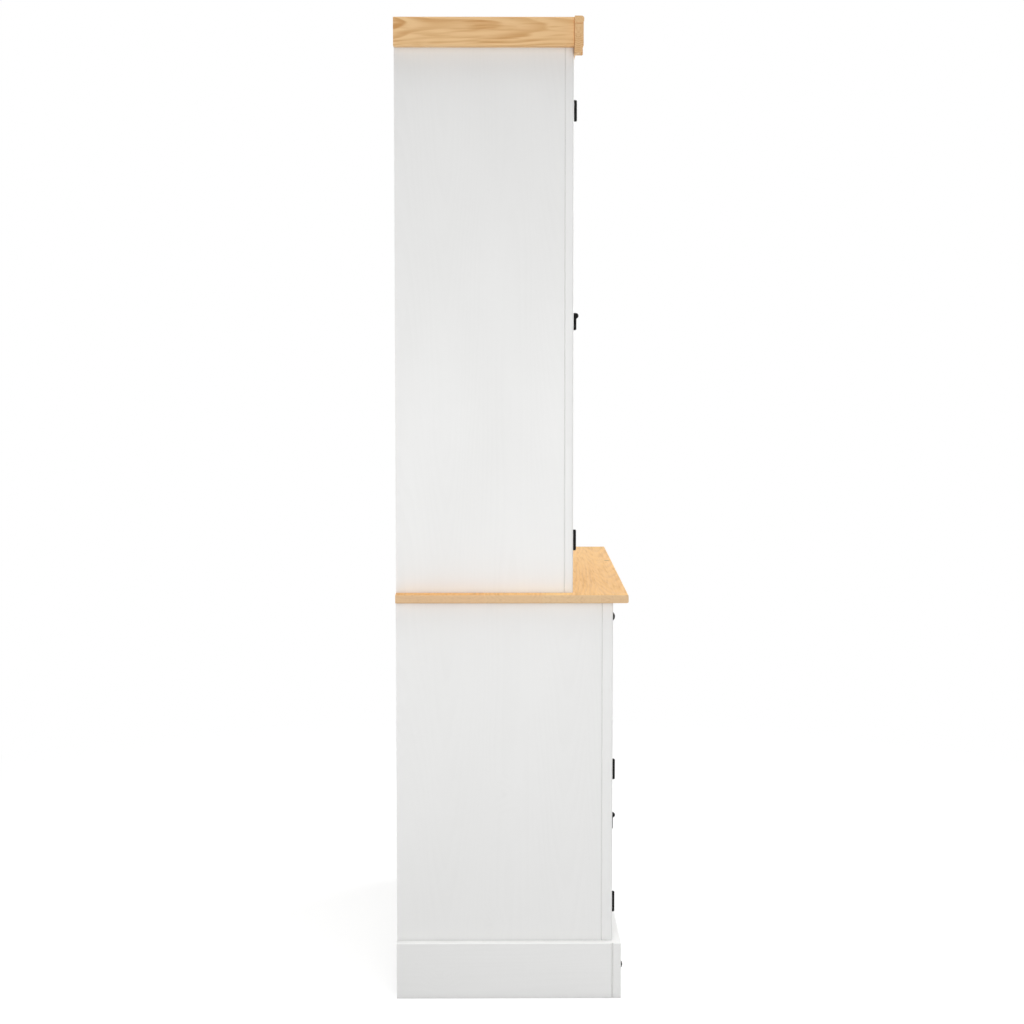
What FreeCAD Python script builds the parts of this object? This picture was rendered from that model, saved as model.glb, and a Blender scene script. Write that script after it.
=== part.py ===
import FreeCAD, Part
import math
import os

os.makedirs("parts", exist_ok=True)

# Tall two-part cupboard. All lengths are millimetres and all angles degrees. +X is to the right of
# someone who faces the front, the front looks towards -Y, +Z is up, and the origin is on the floor
# under the middle of the worktop.

# Overall sizes
worktop_width = 800.0
cabinet_depth = 430.0
base_height = 760.0
hutch_height = 1052.0

# Worktop
worktop_thickness = 16.0
worktop_side_overhang = 18.0
worktop_front_overhang = 27.5
worktop_edge_radius = 3.0

# Base carcass and its face frame
base_panel_thickness = 18.0
base_frame_thickness = 20.0
base_stile_width = 45.0
base_centre_stile_width = 45.0
base_stile_radius = 3.0
base_top_rail_height = 58.0
base_middle_rail_height = 40.0
base_bottom_rail_height = 46.0
base_floor_thickness = 16.0
drawer_opening_height = 166.0
fixing_rail_height = 50.0
fixing_rail_thickness = 18.0

# Plinth
plinth_height = 105.0
plinth_thickness = 16.0
plinth_edge_radius = 2.0
plinth_reveal = 1.0

# Back panels, let into rebates of the side panels
back_panel_thickness = 5.0
back_panel_recess = 1.5
back_panel_lap = 8.0
back_panel_floor_gap = 20.0

# Small bevels that mark the upright joints of side boards with front boards
joint_arris = 1.2
plinth_joint_arris = 2.2

# Hutch carcass and its face frame
hutch_side_inset = 28.0
hutch_front_setback = 101.5
hutch_panel_thickness = 18.0
hutch_frame_thickness = 16.0
hutch_stile_width = 45.0
hutch_centre_stile_width = 45.0
hutch_stile_radius = 4.0
hutch_bottom_rail_height = 39.0
hutch_top_rail_height = 76.0
hutch_floor_thickness = 16.0
hutch_top_thickness = 18.0

# Shelves on battens
shelf_thickness = 16.0
shelf_end_gap = 0.5
shelf_front_gap = 4.0
shelf_edge_radius = 2.0
batten_size = 16.0
hutch_shelf_count = 3
base_shelf_height_share = 0.5

# Cornice
cornice_cap_thickness = 13.0
cornice_cap_overhang = 1.0
cornice_cap_radius_share = 0.4
cornice_side_height = 52.0
cornice_side_thickness = 22.0
cornice_side_drop = 1.0
cornice_edge_radius = 3.0
cornice_end_proud = 6.0
fascia_thickness = 16.0
fascia_height = 53.0
fascia_crown_height = 4.5
fascia_ear_width = 36.0
fascia_haunch_run = 200.0
fascia_arris = 1.5
ear_bevel_depth = 4.5
ear_bevel_height = 13.0

# Doors
door_gap = 2.0
door_back_gap = 0.3
door_stile_width = 55.0
door_top_rail_height = 60.0
door_bottom_rail_height = 66.0
door_edge_radius = 1.5
door_inner_chamfer = 2.5
groove_depth = 8.0
groove_fit = 0.2
panel_tongue_thickness = 6.0
panel_bevel_width = 30.0
panel_bevel_reveal = 2.0
panel_raise = 5.5
panel_field_step = 1.2
pane_thickness = 4.0
glazing_bar_width = 18.0
glazing_bar_recess = 2.5
glazing_bar_chamfer = 2.0
glazing_bar_shares = (1.0 / 3.0, 2.0 / 3.0)

# Drawer
drawer_front_thickness = 20.0
drawer_field_bevel = 22.0
drawer_field_raise = 4.5
drawer_field_step = 1.2
drawer_edge_radius = 1.5
drawer_side_thickness = 12.0
drawer_side_height = 146.0
drawer_bottom_thickness = 5.0
drawer_bottom_lift = 12.0
drawer_groove_depth = 5.0
drawer_back_room = 20.0
drawer_guide_gap = 0.5
drawer_running_gap = 0.3
drawer_kicker_gap = 0.8
bearer_height = 15.0
guide_height = 28.0

# Surface hinges
hinge_barrel_height = 36.0
hinge_barrel_radius = 3.25
hinge_axis_reach = 4.0
hinge_leaf_width = 20.0
hinge_leaf_thickness = 1.5
hinge_leaf_clearance = 0.35
hinge_leaf_radius = 2.0
hinge_knuckle_gap = 0.3
hinge_pin_radius = 1.5
hinge_pin_head_radius = 2.6
hinge_pin_head_height = 1.5
pin_running_gap = 0.05
base_hinge_inset = 58.0
hutch_hinge_inset = 52.5

# Drop pulls
pull_plate_width = 22.0
pull_plate_height = 50.0
pull_plate_thickness = 2.0
base_door_plate_thickness = 5.0
pull_collar_radius = 7.0
pull_collar_height = 3.0
pull_post_radius = 5.75
pull_post_reach = 20.5
pull_post_width = 7.0
pull_pivot_reach = 12.0
pull_pin_radius = 1.5
pull_arm_thickness = 2.5
pull_side_gap = 0.3
pull_end_gap = 0.8
pull_drop_length = 29.0
pull_drop_thickness = 8.0
pull_drop_bulb_radius = 6.0
pull_drop_neck_radius = 3.2
base_pull_height = 151.0
hutch_pull_height = 475.0
drawer_pull_rise = 8.0

# Dome-headed studs
stud_radius = 8.85
stud_height = 5.0
stud_side_inset = 22.0
base_stud_drop = 30.0

# Door catches behind the centre stiles
catch_reach = 16.0
catch_depth = 12.0
catch_height = 12.0
catch_end_inset = 5.0

# Cuts run this far past the faces that they open, and places this close count as one
overrun = 1.0
same_place = 1.0e-4

# Planes that several pieces share
back_y = cabinet_depth / 2.0
worktop_front_y = -cabinet_depth / 2.0
worktop_end_x = worktop_width / 2.0
carcass_top_z = base_height - worktop_thickness
back_panel_y = back_y - back_panel_recess
back_inner_y = back_panel_y - back_panel_thickness

base_side_x = worktop_end_x - worktop_side_overhang
base_inner_x = base_side_x - base_panel_thickness
base_front_y = worktop_front_y + worktop_front_overhang
base_frame_back_y = base_front_y + base_frame_thickness
base_opening_x = base_side_x - base_stile_width
base_floor_z = plinth_height + plinth_reveal
drawer_opening_top_z = carcass_top_z - base_top_rail_height
drawer_opening_bottom_z = drawer_opening_top_z - drawer_opening_height
base_opening_top_z = drawer_opening_bottom_z - base_middle_rail_height
bearer_bottom_z = drawer_opening_bottom_z - bearer_height
plinth_side_x = base_side_x + plinth_thickness
plinth_front_y = base_front_y - plinth_thickness

cornice_top_z = base_height + hutch_height
hutch_side_x = worktop_end_x - hutch_side_inset
hutch_inner_x = hutch_side_x - hutch_panel_thickness
hutch_front_y = worktop_front_y + hutch_front_setback
hutch_frame_back_y = hutch_front_y + hutch_frame_thickness
hutch_opening_x = hutch_side_x - hutch_stile_width
hutch_floor_z = base_height + hutch_bottom_rail_height
cap_bottom_z = cornice_top_z - cornice_cap_thickness
hutch_carcass_top_z = cap_bottom_z - hutch_top_thickness
hutch_opening_top_z = hutch_carcass_top_z - hutch_top_rail_height
cornice_end_x = hutch_side_x + cornice_side_thickness + cornice_end_proud

drawer_side_x = base_opening_x - door_gap - drawer_guide_gap
drawer_side_inner_x = drawer_side_x - drawer_side_thickness
drawer_bottom_z = drawer_opening_bottom_z + drawer_running_gap
drawer_top_z = drawer_bottom_z + drawer_side_height
drawer_back_y = back_inner_y - drawer_back_room
guide_x = drawer_side_x + drawer_guide_gap


def board(x_span, y_span, z_span):
    """A square-edged board between two X, two Y and two Z values."""
    corner = FreeCAD.Vector(x_span[0], y_span[0], z_span[0])
    return Part.makeBox(x_span[1] - x_span[0], y_span[1] - y_span[0], z_span[1] - z_span[0], corner)


def mirrored(shape):
    """The same piece on the other side of the cabinet's middle plane."""
    return shape.mirror(FreeCAD.Vector(0, 0, 0), FreeCAD.Vector(1, 0, 0))


def edges_on(shape, x=None, y=None, z=None):
    """Edges of a shape that lie wholly at the given x, y or z values."""
    found = []
    for edge in shape.Edges:
        box = edge.BoundBox
        spans = ((x, box.XMin, box.XMax), (y, box.YMin, box.YMax), (z, box.ZMin, box.ZMax))
        if all(at is None or max(abs(low - at), abs(high - at)) < same_place for at, low, high in spans):
            found.append(edge)
    return found


def cylinder(radius, start, direction, length):
    """A round bar from a start point along a direction."""
    return Part.makeCylinder(radius, length, FreeCAD.Vector(*start), FreeCAD.Vector(*direction))


def outline_face(points, to_space):
    """A flat face through the points of an outline, each one placed in space by a function."""
    places = [to_space(*point) for point in points]
    return Part.Face(Part.makePolygon(places + places[:1]))


def rectangle_wire(x_span, z_span, y):
    """An upright rectangle that faces the front."""
    corners = [(x_span[0], z_span[0]), (x_span[1], z_span[0]), (x_span[1], z_span[1]), (x_span[0], z_span[1])]
    places = [FreeCAD.Vector(x, y, z) for x, z in corners]
    return Part.makePolygon(places + places[:1])


def raised_field(x_span, z_span, y_foot, raise_height, bevel, step):
    """The raised middle of a panel, with sloping margins that end in a small step round its flat."""
    inner_x = grown(x_span, -bevel)
    inner_z = grown(z_span, -bevel)
    flat_y = y_foot - raise_height
    foot = rectangle_wire(x_span, z_span, y_foot)
    crest = rectangle_wire(inner_x, inner_z, flat_y + step)
    return Part.makeLoft([foot, crest], True, True).fuse(board(inner_x, (flat_y, y_foot), inner_z))


def save(node, solids):
    """Write the solids of one node to its file."""
    Part.makeCompound(solids).exportStep("parts/" + node + ".step")


def save_pair(left_node, right_node, solids):
    """Write a left-hand piece and its right-hand twin."""
    save(left_node, solids)
    save(right_node, [mirrored(solid) for solid in solids])


def eased_joint(solid, x, y, z_span, arris=joint_arris):
    """A board with its upright edge at x and y taken down by a small bevel."""
    corners = [(x - arris, y), (x, y - arris), (x + arris, y), (x, y + arris)]
    foot_z = z_span[0] - overrun
    bar = outline_face(corners, lambda at_x, at_y: FreeCAD.Vector(at_x, at_y, foot_z))
    return solid.cut(bar.extrude(FreeCAD.Vector(0, 0, z_span[1] + overrun - foot_z)))


def side_panel(outer_x, thickness, frame_back_y, z_span):
    """A left side panel, rebated at the back for the back panel."""
    panel = board((-outer_x, thickness - outer_x), (frame_back_y, back_y), z_span)
    inner_x = thickness - outer_x
    rebate_z = (z_span[0] - overrun, z_span[1] + overrun)
    rebate = board((inner_x - back_panel_lap, inner_x + overrun), (back_inner_y, back_y + overrun), rebate_z)
    return eased_joint(panel.cut(rebate), -outer_x, frame_back_y, z_span)


def front_loop(shape, x_span, z_span, y):
    """The four edges of an upright rectangle that faces the front."""
    edges = [edge for x in x_span for edge in edges_on(shape, x=x, y=y)]
    return edges + [edge for z in z_span for edge in edges_on(shape, y=y, z=z)]


def outer_stile(outer_x, width, front_y, frame_back_y, z_span, radius):
    """A left face-frame stile with its outer front edge rounded."""
    stile = board((-outer_x, width - outer_x), (front_y, frame_back_y), z_span)
    stile = stile.makeFillet(radius, edges_on(stile, x=-outer_x, y=front_y))
    return eased_joint(stile, -outer_x, frame_back_y, z_span)


def centre_stile(width, front_y, frame_back_y, z_span):
    """The stile between two doors."""
    return board((-width / 2.0, width / 2.0), (front_y, frame_back_y), z_span)


def build_worktop():
    """The pine worktop, with its top and bottom arrises rounded at the front and the ends."""
    z_span = (carcass_top_z, base_height)
    top = board((-worktop_end_x, worktop_end_x), (worktop_front_y, back_y), z_span)
    edges = []
    for z in z_span:
        edges += edges_on(top, y=worktop_front_y, z=z)
        edges += edges_on(top, x=-worktop_end_x, z=z)
        edges += edges_on(top, x=worktop_end_x, z=z)
    save("worktop", [top.makeFillet(worktop_edge_radius, edges)])


def build_base():
    """Side panels, floor, back, frame and rear rail of the base cabinet."""
    full_height = (0, carcass_top_z)
    inner_x = (-base_inner_x, base_inner_x)
    frame_y = (base_front_y, base_frame_back_y)
    opening_x = (-base_opening_x, base_opening_x)

    side = side_panel(base_side_x, base_panel_thickness, base_frame_back_y, full_height)
    save_pair("base_side_left", "base_side_right", [side])

    floor_z = (base_floor_z - base_floor_thickness, base_floor_z)
    save("base_floor_board", [board(inner_x, (base_frame_back_y, back_inner_y), floor_z)])

    back_x = base_inner_x + back_panel_lap
    back_z = (back_panel_floor_gap, carcass_top_z)
    save("base_back_panel", [board((-back_x, back_x), (back_inner_y, back_panel_y), back_z)])

    stile = outer_stile(base_side_x, base_stile_width, base_front_y, base_frame_back_y, full_height,
                        base_stile_radius)
    save_pair("base_stile_left", "base_stile_right", [stile])

    middle = centre_stile(base_centre_stile_width, base_front_y, base_frame_back_y,
                          (base_floor_z, base_opening_top_z))
    save("base_centre_stile", [middle])

    rail_spans = [
        (drawer_opening_top_z, carcass_top_z),
        (base_opening_top_z, drawer_opening_bottom_z),
        (base_floor_z - base_bottom_rail_height, base_floor_z),
    ]
    save("base_rails", [board(opening_x, frame_y, span) for span in rail_spans])

    fixing_y = (back_inner_y - fixing_rail_thickness, back_inner_y)
    fixing_z = (carcass_top_z - fixing_rail_height, carcass_top_z)
    save("worktop_fixing_rail", [board(inner_x, fixing_y, fixing_z)])


def build_plinth():
    """Three plinth boards round the foot of the base. The front one covers the ends of the others."""
    z_span = (0, plinth_height)
    front = board((-plinth_side_x, plinth_side_x), (plinth_front_y, base_front_y), z_span)
    edges = edges_on(front, y=plinth_front_y, z=plinth_height)
    edges += edges_on(front, x=-plinth_side_x, z=plinth_height)
    edges += edges_on(front, x=plinth_side_x, z=plinth_height)
    front = front.makeFillet(plinth_edge_radius, edges)
    for end_x in (-plinth_side_x, plinth_side_x):
        front = eased_joint(front, end_x, base_front_y, z_span, plinth_joint_arris)
    save("plinth_front", [front])

    side = board((-plinth_side_x, -base_side_x), (base_front_y, back_y), z_span)
    side = side.makeFillet(plinth_edge_radius, edges_on(side, x=-plinth_side_x, z=plinth_height))
    side = eased_joint(side, -plinth_side_x, base_front_y, z_span, plinth_joint_arris)
    save_pair("plinth_left", "plinth_right", [side])


def build_hutch():
    """Side panels, top, floor, back and frame of the hutch."""
    full_height = (base_height, hutch_carcass_top_z)
    inner_x = (-hutch_inner_x, hutch_inner_x)
    frame_y = (hutch_front_y, hutch_frame_back_y)
    opening_x = (-hutch_opening_x, hutch_opening_x)

    side = side_panel(hutch_side_x, hutch_panel_thickness, hutch_frame_back_y, full_height)
    save_pair("hutch_side_left", "hutch_side_right", [side])

    top_z = (hutch_carcass_top_z, cap_bottom_z)
    save("hutch_top_board", [board((-hutch_side_x, hutch_side_x), (hutch_front_y, back_y), top_z)])

    floor_z = (hutch_floor_z - hutch_floor_thickness, hutch_floor_z)
    save("hutch_floor_board", [board(inner_x, (hutch_frame_back_y, back_inner_y), floor_z)])

    back_x = hutch_inner_x + back_panel_lap
    save("hutch_back_panel", [board((-back_x, back_x), (back_inner_y, back_panel_y), full_height)])

    stile = outer_stile(hutch_side_x, hutch_stile_width, hutch_front_y, hutch_frame_back_y, full_height,
                        hutch_stile_radius)
    save_pair("hutch_stile_left", "hutch_stile_right", [stile])

    middle = centre_stile(hutch_centre_stile_width, hutch_front_y, hutch_frame_back_y,
                          (hutch_floor_z, hutch_opening_top_z))
    save("hutch_centre_stile", [middle])

    rail_spans = [(hutch_opening_top_z, hutch_carcass_top_z), (base_height, hutch_floor_z)]
    save("hutch_rails", [board(opening_x, frame_y, span) for span in rail_spans])


def shelf_on_battens(inner_x, frame_back_y, shelf_z):
    """A shelf and the two battens that carry it, with the shelf's lower face at shelf_z."""
    y_span = (frame_back_y + shelf_front_gap, back_inner_y)
    end_x = inner_x - shelf_end_gap
    shelf_span = (shelf_z, shelf_z + shelf_thickness)
    shelf = board((-end_x, end_x), y_span, shelf_span)
    nosing = [edge for z in shelf_span for edge in edges_on(shelf, y=y_span[0], z=z)]
    shelf = shelf.makeFillet(shelf_edge_radius, nosing)
    batten = board((-inner_x, batten_size - inner_x), y_span, (shelf_z - batten_size, shelf_z))
    return shelf, [batten, mirrored(batten)]


def build_shelves():
    """One shelf in the base, and evenly spaced shelves in the hutch."""
    base_room = bearer_bottom_z - base_floor_z - shelf_thickness
    base_shelf, battens = shelf_on_battens(base_inner_x, base_frame_back_y,
                                           base_floor_z + base_room * base_shelf_height_share)
    save("base_shelf", [base_shelf])

    hutch_room = hutch_carcass_top_z - hutch_floor_z - hutch_shelf_count * shelf_thickness
    step = hutch_room / (hutch_shelf_count + 1) + shelf_thickness
    hutch_shelves = []
    for number in range(1, hutch_shelf_count + 1):
        shelf_z = hutch_floor_z + number * step - shelf_thickness
        shelf, pair = shelf_on_battens(hutch_inner_x, hutch_frame_back_y, shelf_z)
        hutch_shelves.append(shelf)
        battens += pair
    save("hutch_shelves", hutch_shelves)
    save("shelf_battens", battens)


def build_cornice():
    """Side boards, cap strip and arched fascia round the top of the hutch."""
    side_top_z = cornice_top_z - cornice_side_drop
    side_bottom_z = side_top_z - cornice_side_height
    outer_x = -hutch_side_x - cornice_side_thickness
    side_z = (side_bottom_z, side_top_z)
    side = board((outer_x, -hutch_side_x), (hutch_front_y, back_y), side_z)
    edges = edges_on(side, x=outer_x, z=side_bottom_z) + edges_on(side, x=outer_x, z=side_top_z)
    side = eased_joint(side.makeFillet(cornice_edge_radius, edges), outer_x, hutch_front_y, side_z)
    save_pair("cornice_side_left", "cornice_side_right", [side])

    fascia_front_y = hutch_front_y - fascia_thickness
    cap_front_y = fascia_front_y - cornice_cap_overhang
    cap = board((-cornice_end_x, cornice_end_x), (cap_front_y, hutch_front_y), (cap_bottom_z, cornice_top_z))
    nosing = edges_on(cap, y=cap_front_y, z=cap_bottom_z) + edges_on(cap, y=cap_front_y, z=cornice_top_z)
    save("cornice_cap", [cap.makeFillet(cornice_cap_thickness * cornice_cap_radius_share, nosing)])
    save("cornice_fascia", [arched_fascia(fascia_front_y)])


def arched_fascia(front_y):
    """A board with a low ear at each end, and two round haunches that rise to a level crown."""
    ear_z = cap_bottom_z - fascia_height
    crown_z = cap_bottom_z - fascia_crown_height
    rise = crown_z - ear_z
    ear_x = cornice_end_x - fascia_ear_width
    crown_x = ear_x - fascia_haunch_run
    radius = (fascia_haunch_run ** 2 + rise ** 2) / (2.0 * rise)
    half_turn = math.asin(fascia_haunch_run / radius) / 2.0
    middle_x = crown_x + radius * math.sin(half_turn)
    middle_z = crown_z - radius * (1.0 - math.cos(half_turn))

    def place(x, z):
        return FreeCAD.Vector(x, front_y, z)

    def haunch(side):
        return Part.Arc(place(side * ear_x, ear_z), place(side * middle_x, middle_z),
                        place(side * crown_x, crown_z)).toShape()

    def line(start, end):
        return Part.LineSegment(place(*start), place(*end)).toShape()

    edges = [
        line((-cornice_end_x, cap_bottom_z), (-cornice_end_x, ear_z)),
        line((-cornice_end_x, ear_z), (-ear_x, ear_z)),
        haunch(-1),
        line((-crown_x, crown_z), (crown_x, crown_z)),
        haunch(1),
        line((ear_x, ear_z), (cornice_end_x, ear_z)),
        line((cornice_end_x, ear_z), (cornice_end_x, cap_bottom_z)),
        line((cornice_end_x, cap_bottom_z), (-cornice_end_x, cap_bottom_z)),
    ]
    outline = Part.Wire(Part.__sortEdges__(edges))
    fascia = Part.Face(outline).extrude(FreeCAD.Vector(0, hutch_front_y - front_y, 0))

    arch_edges = [edge for edge in edges_on(fascia, y=front_y)
                  if ear_z + same_place < edge.CenterOfMass.z < crown_z + same_place
                  and abs(edge.CenterOfMass.x) < ear_x]
    end_edges = [edge for end_x in (-cornice_end_x, cornice_end_x)
                 for edge in edges_on(fascia, x=end_x, z=cap_bottom_z)]
    fascia = fascia.makeChamfer(fascia_arris, arch_edges + end_edges)

    bevel_points = [(front_y - overrun, ear_z - overrun), (front_y + ear_bevel_depth, ear_z - overrun),
                    (front_y + ear_bevel_depth, ear_z), (front_y, ear_z + ear_bevel_height),
                    (front_y - overrun, ear_z + ear_bevel_height)]
    for start_x in (-cornice_end_x - overrun, ear_x):
        face = outline_face(bevel_points, lambda y, z, at=start_x: FreeCAD.Vector(at, y, z))
        fascia = fascia.cut(face.extrude(FreeCAD.Vector(fascia_ear_width + overrun, 0, 0)))
    return fascia


def moulded_blank(x_span, z_span, y_span, inner_x, inner_z):
    """The outline of a door frame, with its front edges eased outside and chamfered inside."""
    front_y = y_span[0]
    blank = board(x_span, y_span, z_span).cut(board(inner_x, grown(y_span, overrun), inner_z))
    blank = blank.makeFillet(door_edge_radius, front_loop(blank, x_span, z_span, front_y))
    return blank.makeChamfer(door_inner_chamfer, front_loop(blank, inner_x, inner_z, front_y))


def door_frame(x_span, z_span, y_span, groove_y):
    """Two stiles and two rails, grooved for the panel or pane, the rails with stub tenons in the grooves."""
    inner_x = (x_span[0] + door_stile_width, x_span[1] - door_stile_width)
    inner_z = (z_span[0] + door_bottom_rail_height, z_span[1] - door_top_rail_height)
    long_z = (z_span[0] - overrun, z_span[1] + overrun)
    tongue_y = (groove_y[0] + groove_fit, groove_y[1] - groove_fit)

    stile_left = board((x_span[0], inner_x[0]), y_span, z_span)
    stile_left = stile_left.cut(board((inner_x[0] - groove_depth, inner_x[0] + overrun), groove_y, long_z))
    stile_right = board((inner_x[1], x_span[1]), y_span, z_span)
    stile_right = stile_right.cut(board((inner_x[1] - overrun, inner_x[1] + groove_depth), groove_y, long_z))

    tenon_length = groove_depth - groove_fit
    tenon_x = (inner_x[0] - tenon_length, inner_x[1] + tenon_length)
    groove_x = (tenon_x[0] - overrun, tenon_x[1] + overrun)

    top_rail = board(inner_x, y_span, (inner_z[1], z_span[1]))
    top_rail = top_rail.fuse(board(tenon_x, tongue_y, (inner_z[1] + groove_depth, z_span[1])))
    top_groove_z = (inner_z[1] - overrun, inner_z[1] + groove_depth)
    top_rail = top_rail.cut(board(groove_x, groove_y, top_groove_z)).removeSplitter()

    bottom_rail = board(inner_x, y_span, (z_span[0], inner_z[0]))
    bottom_rail = bottom_rail.fuse(board(tenon_x, tongue_y, (z_span[0], inner_z[0] - groove_depth)))
    bottom_groove_z = (inner_z[0] - groove_depth, inner_z[0] + overrun)
    bottom_rail = bottom_rail.cut(board(groove_x, groove_y, bottom_groove_z)).removeSplitter()

    blank = moulded_blank(x_span, z_span, y_span, inner_x, inner_z)
    members = [member.common(blank) for member in (stile_left, stile_right, top_rail, bottom_rail)]
    return members, inner_x, inner_z


def grown(span, amount):
    """A span made longer by an amount at both ends."""
    return (span[0] - amount, span[1] + amount)


def build_base_doors():
    """Framed doors with raised panels."""
    x_span = (-base_opening_x + door_gap, -base_centre_stile_width / 2.0 - door_gap)
    z_span = (base_floor_z + door_gap, base_opening_top_z - door_gap)
    y_span = (base_front_y, base_frame_back_y - door_back_gap)
    middle_y = (y_span[0] + y_span[1]) / 2.0
    tongue_y = (middle_y - panel_tongue_thickness / 2.0, middle_y + panel_tongue_thickness / 2.0)
    members, inner_x, inner_z = door_frame(x_span, z_span, y_span, grown(tongue_y, groove_fit))
    save_pair("base_left_door_frame", "base_right_door_frame", members)

    tongue_reach = groove_depth - groove_fit
    panel = board(grown(inner_x, tongue_reach), tongue_y, grown(inner_z, tongue_reach))
    field = raised_field(grown(inner_x, -panel_bevel_reveal), grown(inner_z, -panel_bevel_reveal),
                         tongue_y[0], panel_raise, panel_bevel_width, panel_field_step)
    save_pair("base_left_door_panel", "base_right_door_panel", [panel.fuse(field)])

    heights = (z_span[0] + base_hinge_inset, z_span[1] - base_hinge_inset)
    leaves = [hinge_leaf(-base_opening_x + door_gap / 2.0, base_front_y, z, True) for z in heights]
    save_pair("base_left_door_hinge_leaves", "base_right_door_hinge_leaves", leaves)

    pull_x = x_span[1] - door_stile_width / 2.0
    save_pull("base_left_door", "base_right_door", (pull_x, base_front_y, z_span[0] + base_pull_height),
              base_door_plate_thickness)


def build_hutch_doors():
    """Framed doors, each with one glass pane behind glazing bars."""
    x_span = (-hutch_opening_x + door_gap, -hutch_centre_stile_width / 2.0 - door_gap)
    z_span = (hutch_floor_z + door_gap, hutch_opening_top_z - door_gap)
    y_span = (hutch_front_y, hutch_frame_back_y - door_back_gap)
    middle_y = (y_span[0] + y_span[1]) / 2.0
    pane_y = (middle_y - pane_thickness / 2.0, middle_y + pane_thickness / 2.0)
    members, inner_x, inner_z = door_frame(x_span, z_span, y_span, grown(pane_y, groove_fit))

    bar_y = (y_span[0] + glazing_bar_recess, pane_y[0])
    for share in glazing_bar_shares:
        middle_z = inner_z[0] + share * (inner_z[1] - inner_z[0])
        bar_z = (middle_z - glazing_bar_width / 2.0, middle_z + glazing_bar_width / 2.0)
        bar = board(inner_x, bar_y, bar_z)
        arrises = [edge for z in bar_z for edge in edges_on(bar, y=bar_y[0], z=z)]
        members.append(bar.makeChamfer(glazing_bar_chamfer, arrises))
    save_pair("hutch_left_door_frame", "hutch_right_door_frame", members)

    pane_reach = groove_depth - groove_fit
    pane = board(grown(inner_x, pane_reach), pane_y, grown(inner_z, pane_reach))
    save_pair("hutch_left_door_pane", "hutch_right_door_pane", [pane])

    heights = (z_span[0] + hutch_hinge_inset, z_span[1] - hutch_hinge_inset)
    leaves = [hinge_leaf(-hutch_opening_x + door_gap / 2.0, hutch_front_y, z, True) for z in heights]
    save_pair("hutch_left_door_hinge_leaves", "hutch_right_door_hinge_leaves", leaves)

    pull_x = x_span[1] - door_stile_width / 2.0
    save_pull("hutch_left_door", "hutch_right_door", (pull_x, hutch_front_y, z_span[0] + hutch_pull_height),
              pull_plate_thickness)


def knuckle_spans(z):
    """Lower, middle and upper knuckles of a hinge whose middle is at height z."""
    knuckle = (hinge_barrel_height - 2.0 * hinge_knuckle_gap) / 3.0
    bottom = z - hinge_barrel_height / 2.0
    step = knuckle + hinge_knuckle_gap
    return [(bottom + number * step, bottom + number * step + knuckle) for number in range(3)]


def hinge_leaf(axis_x, face_y, z, on_door):
    """One leaf of a left hinge: a plate on the face, with the knuckles that it carries on the axis."""
    side = 1 if on_door else -1
    spans = knuckle_spans(z)
    own_spans = spans[1:2] if on_door else spans[0::2]
    bore_radius = hinge_pin_radius + (pin_running_gap if on_door else 0)
    axis_y = face_y - hinge_axis_reach
    near_x = axis_x + side * (hinge_barrel_radius + hinge_leaf_clearance)
    far_x = axis_x + side * hinge_leaf_width
    plate_y = (face_y - hinge_leaf_thickness, face_y)
    plate_z = (z - hinge_barrel_height / 2.0, z + hinge_barrel_height / 2.0)

    leaf = board(sorted((near_x, far_x)), plate_y, plate_z)
    corners = edges_on(leaf, x=far_x, z=plate_z[0]) + edges_on(leaf, x=far_x, z=plate_z[1])
    leaf = leaf.makeFillet(hinge_leaf_radius, corners)
    for span in own_spans:
        web = board(sorted((axis_x, near_x)), plate_y, span)
        barrel = cylinder(hinge_barrel_radius, (axis_x, axis_y, span[0]), (0, 0, 1), span[1] - span[0])
        leaf = leaf.fuse(web).fuse(barrel)
    bore_start = plate_z[0] - overrun
    bore_length = hinge_barrel_height + 2.0 * overrun
    return leaf.cut(cylinder(bore_radius, (axis_x, axis_y, bore_start), (0, 0, 1), bore_length))


def hinge_pin(axis_x, face_y, z):
    """A hinge pin with a button head at each end."""
    axis_y = face_y - hinge_axis_reach
    bottom = z - hinge_barrel_height / 2.0
    pin = cylinder(hinge_pin_radius, (axis_x, axis_y, bottom), (0, 0, 1), hinge_barrel_height)
    for head_z, direction in ((bottom, -1), (bottom + hinge_barrel_height, 1)):
        head_start = (axis_x, axis_y, head_z)
        head = cylinder(hinge_pin_head_radius, head_start, (0, 0, direction), hinge_pin_head_height)
        rim = edges_on(head, z=head_z + direction * hinge_pin_head_height)
        pin = pin.fuse(head.makeFillet(hinge_pin_head_height / 2.0, rim))
    return pin.removeSplitter()


def build_frame_hinges():
    """The hinge leaves and pins that stay on the face frames."""
    base_z = grown((base_floor_z, base_opening_top_z), -door_gap - base_hinge_inset)
    hutch_z = grown((hutch_floor_z, hutch_opening_top_z), -door_gap - hutch_hinge_inset)
    places = [(-base_opening_x + door_gap / 2.0, base_front_y, z) for z in base_z]
    places += [(-hutch_opening_x + door_gap / 2.0, hutch_front_y, z) for z in hutch_z]
    leaves = [hinge_leaf(*place, False) for place in places]
    pins = [hinge_pin(*place) for place in places]
    save("hinge_frame_leaves", leaves + [mirrored(leaf) for leaf in leaves])
    save("hinge_pins", pins + [mirrored(pin) for pin in pins])


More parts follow.
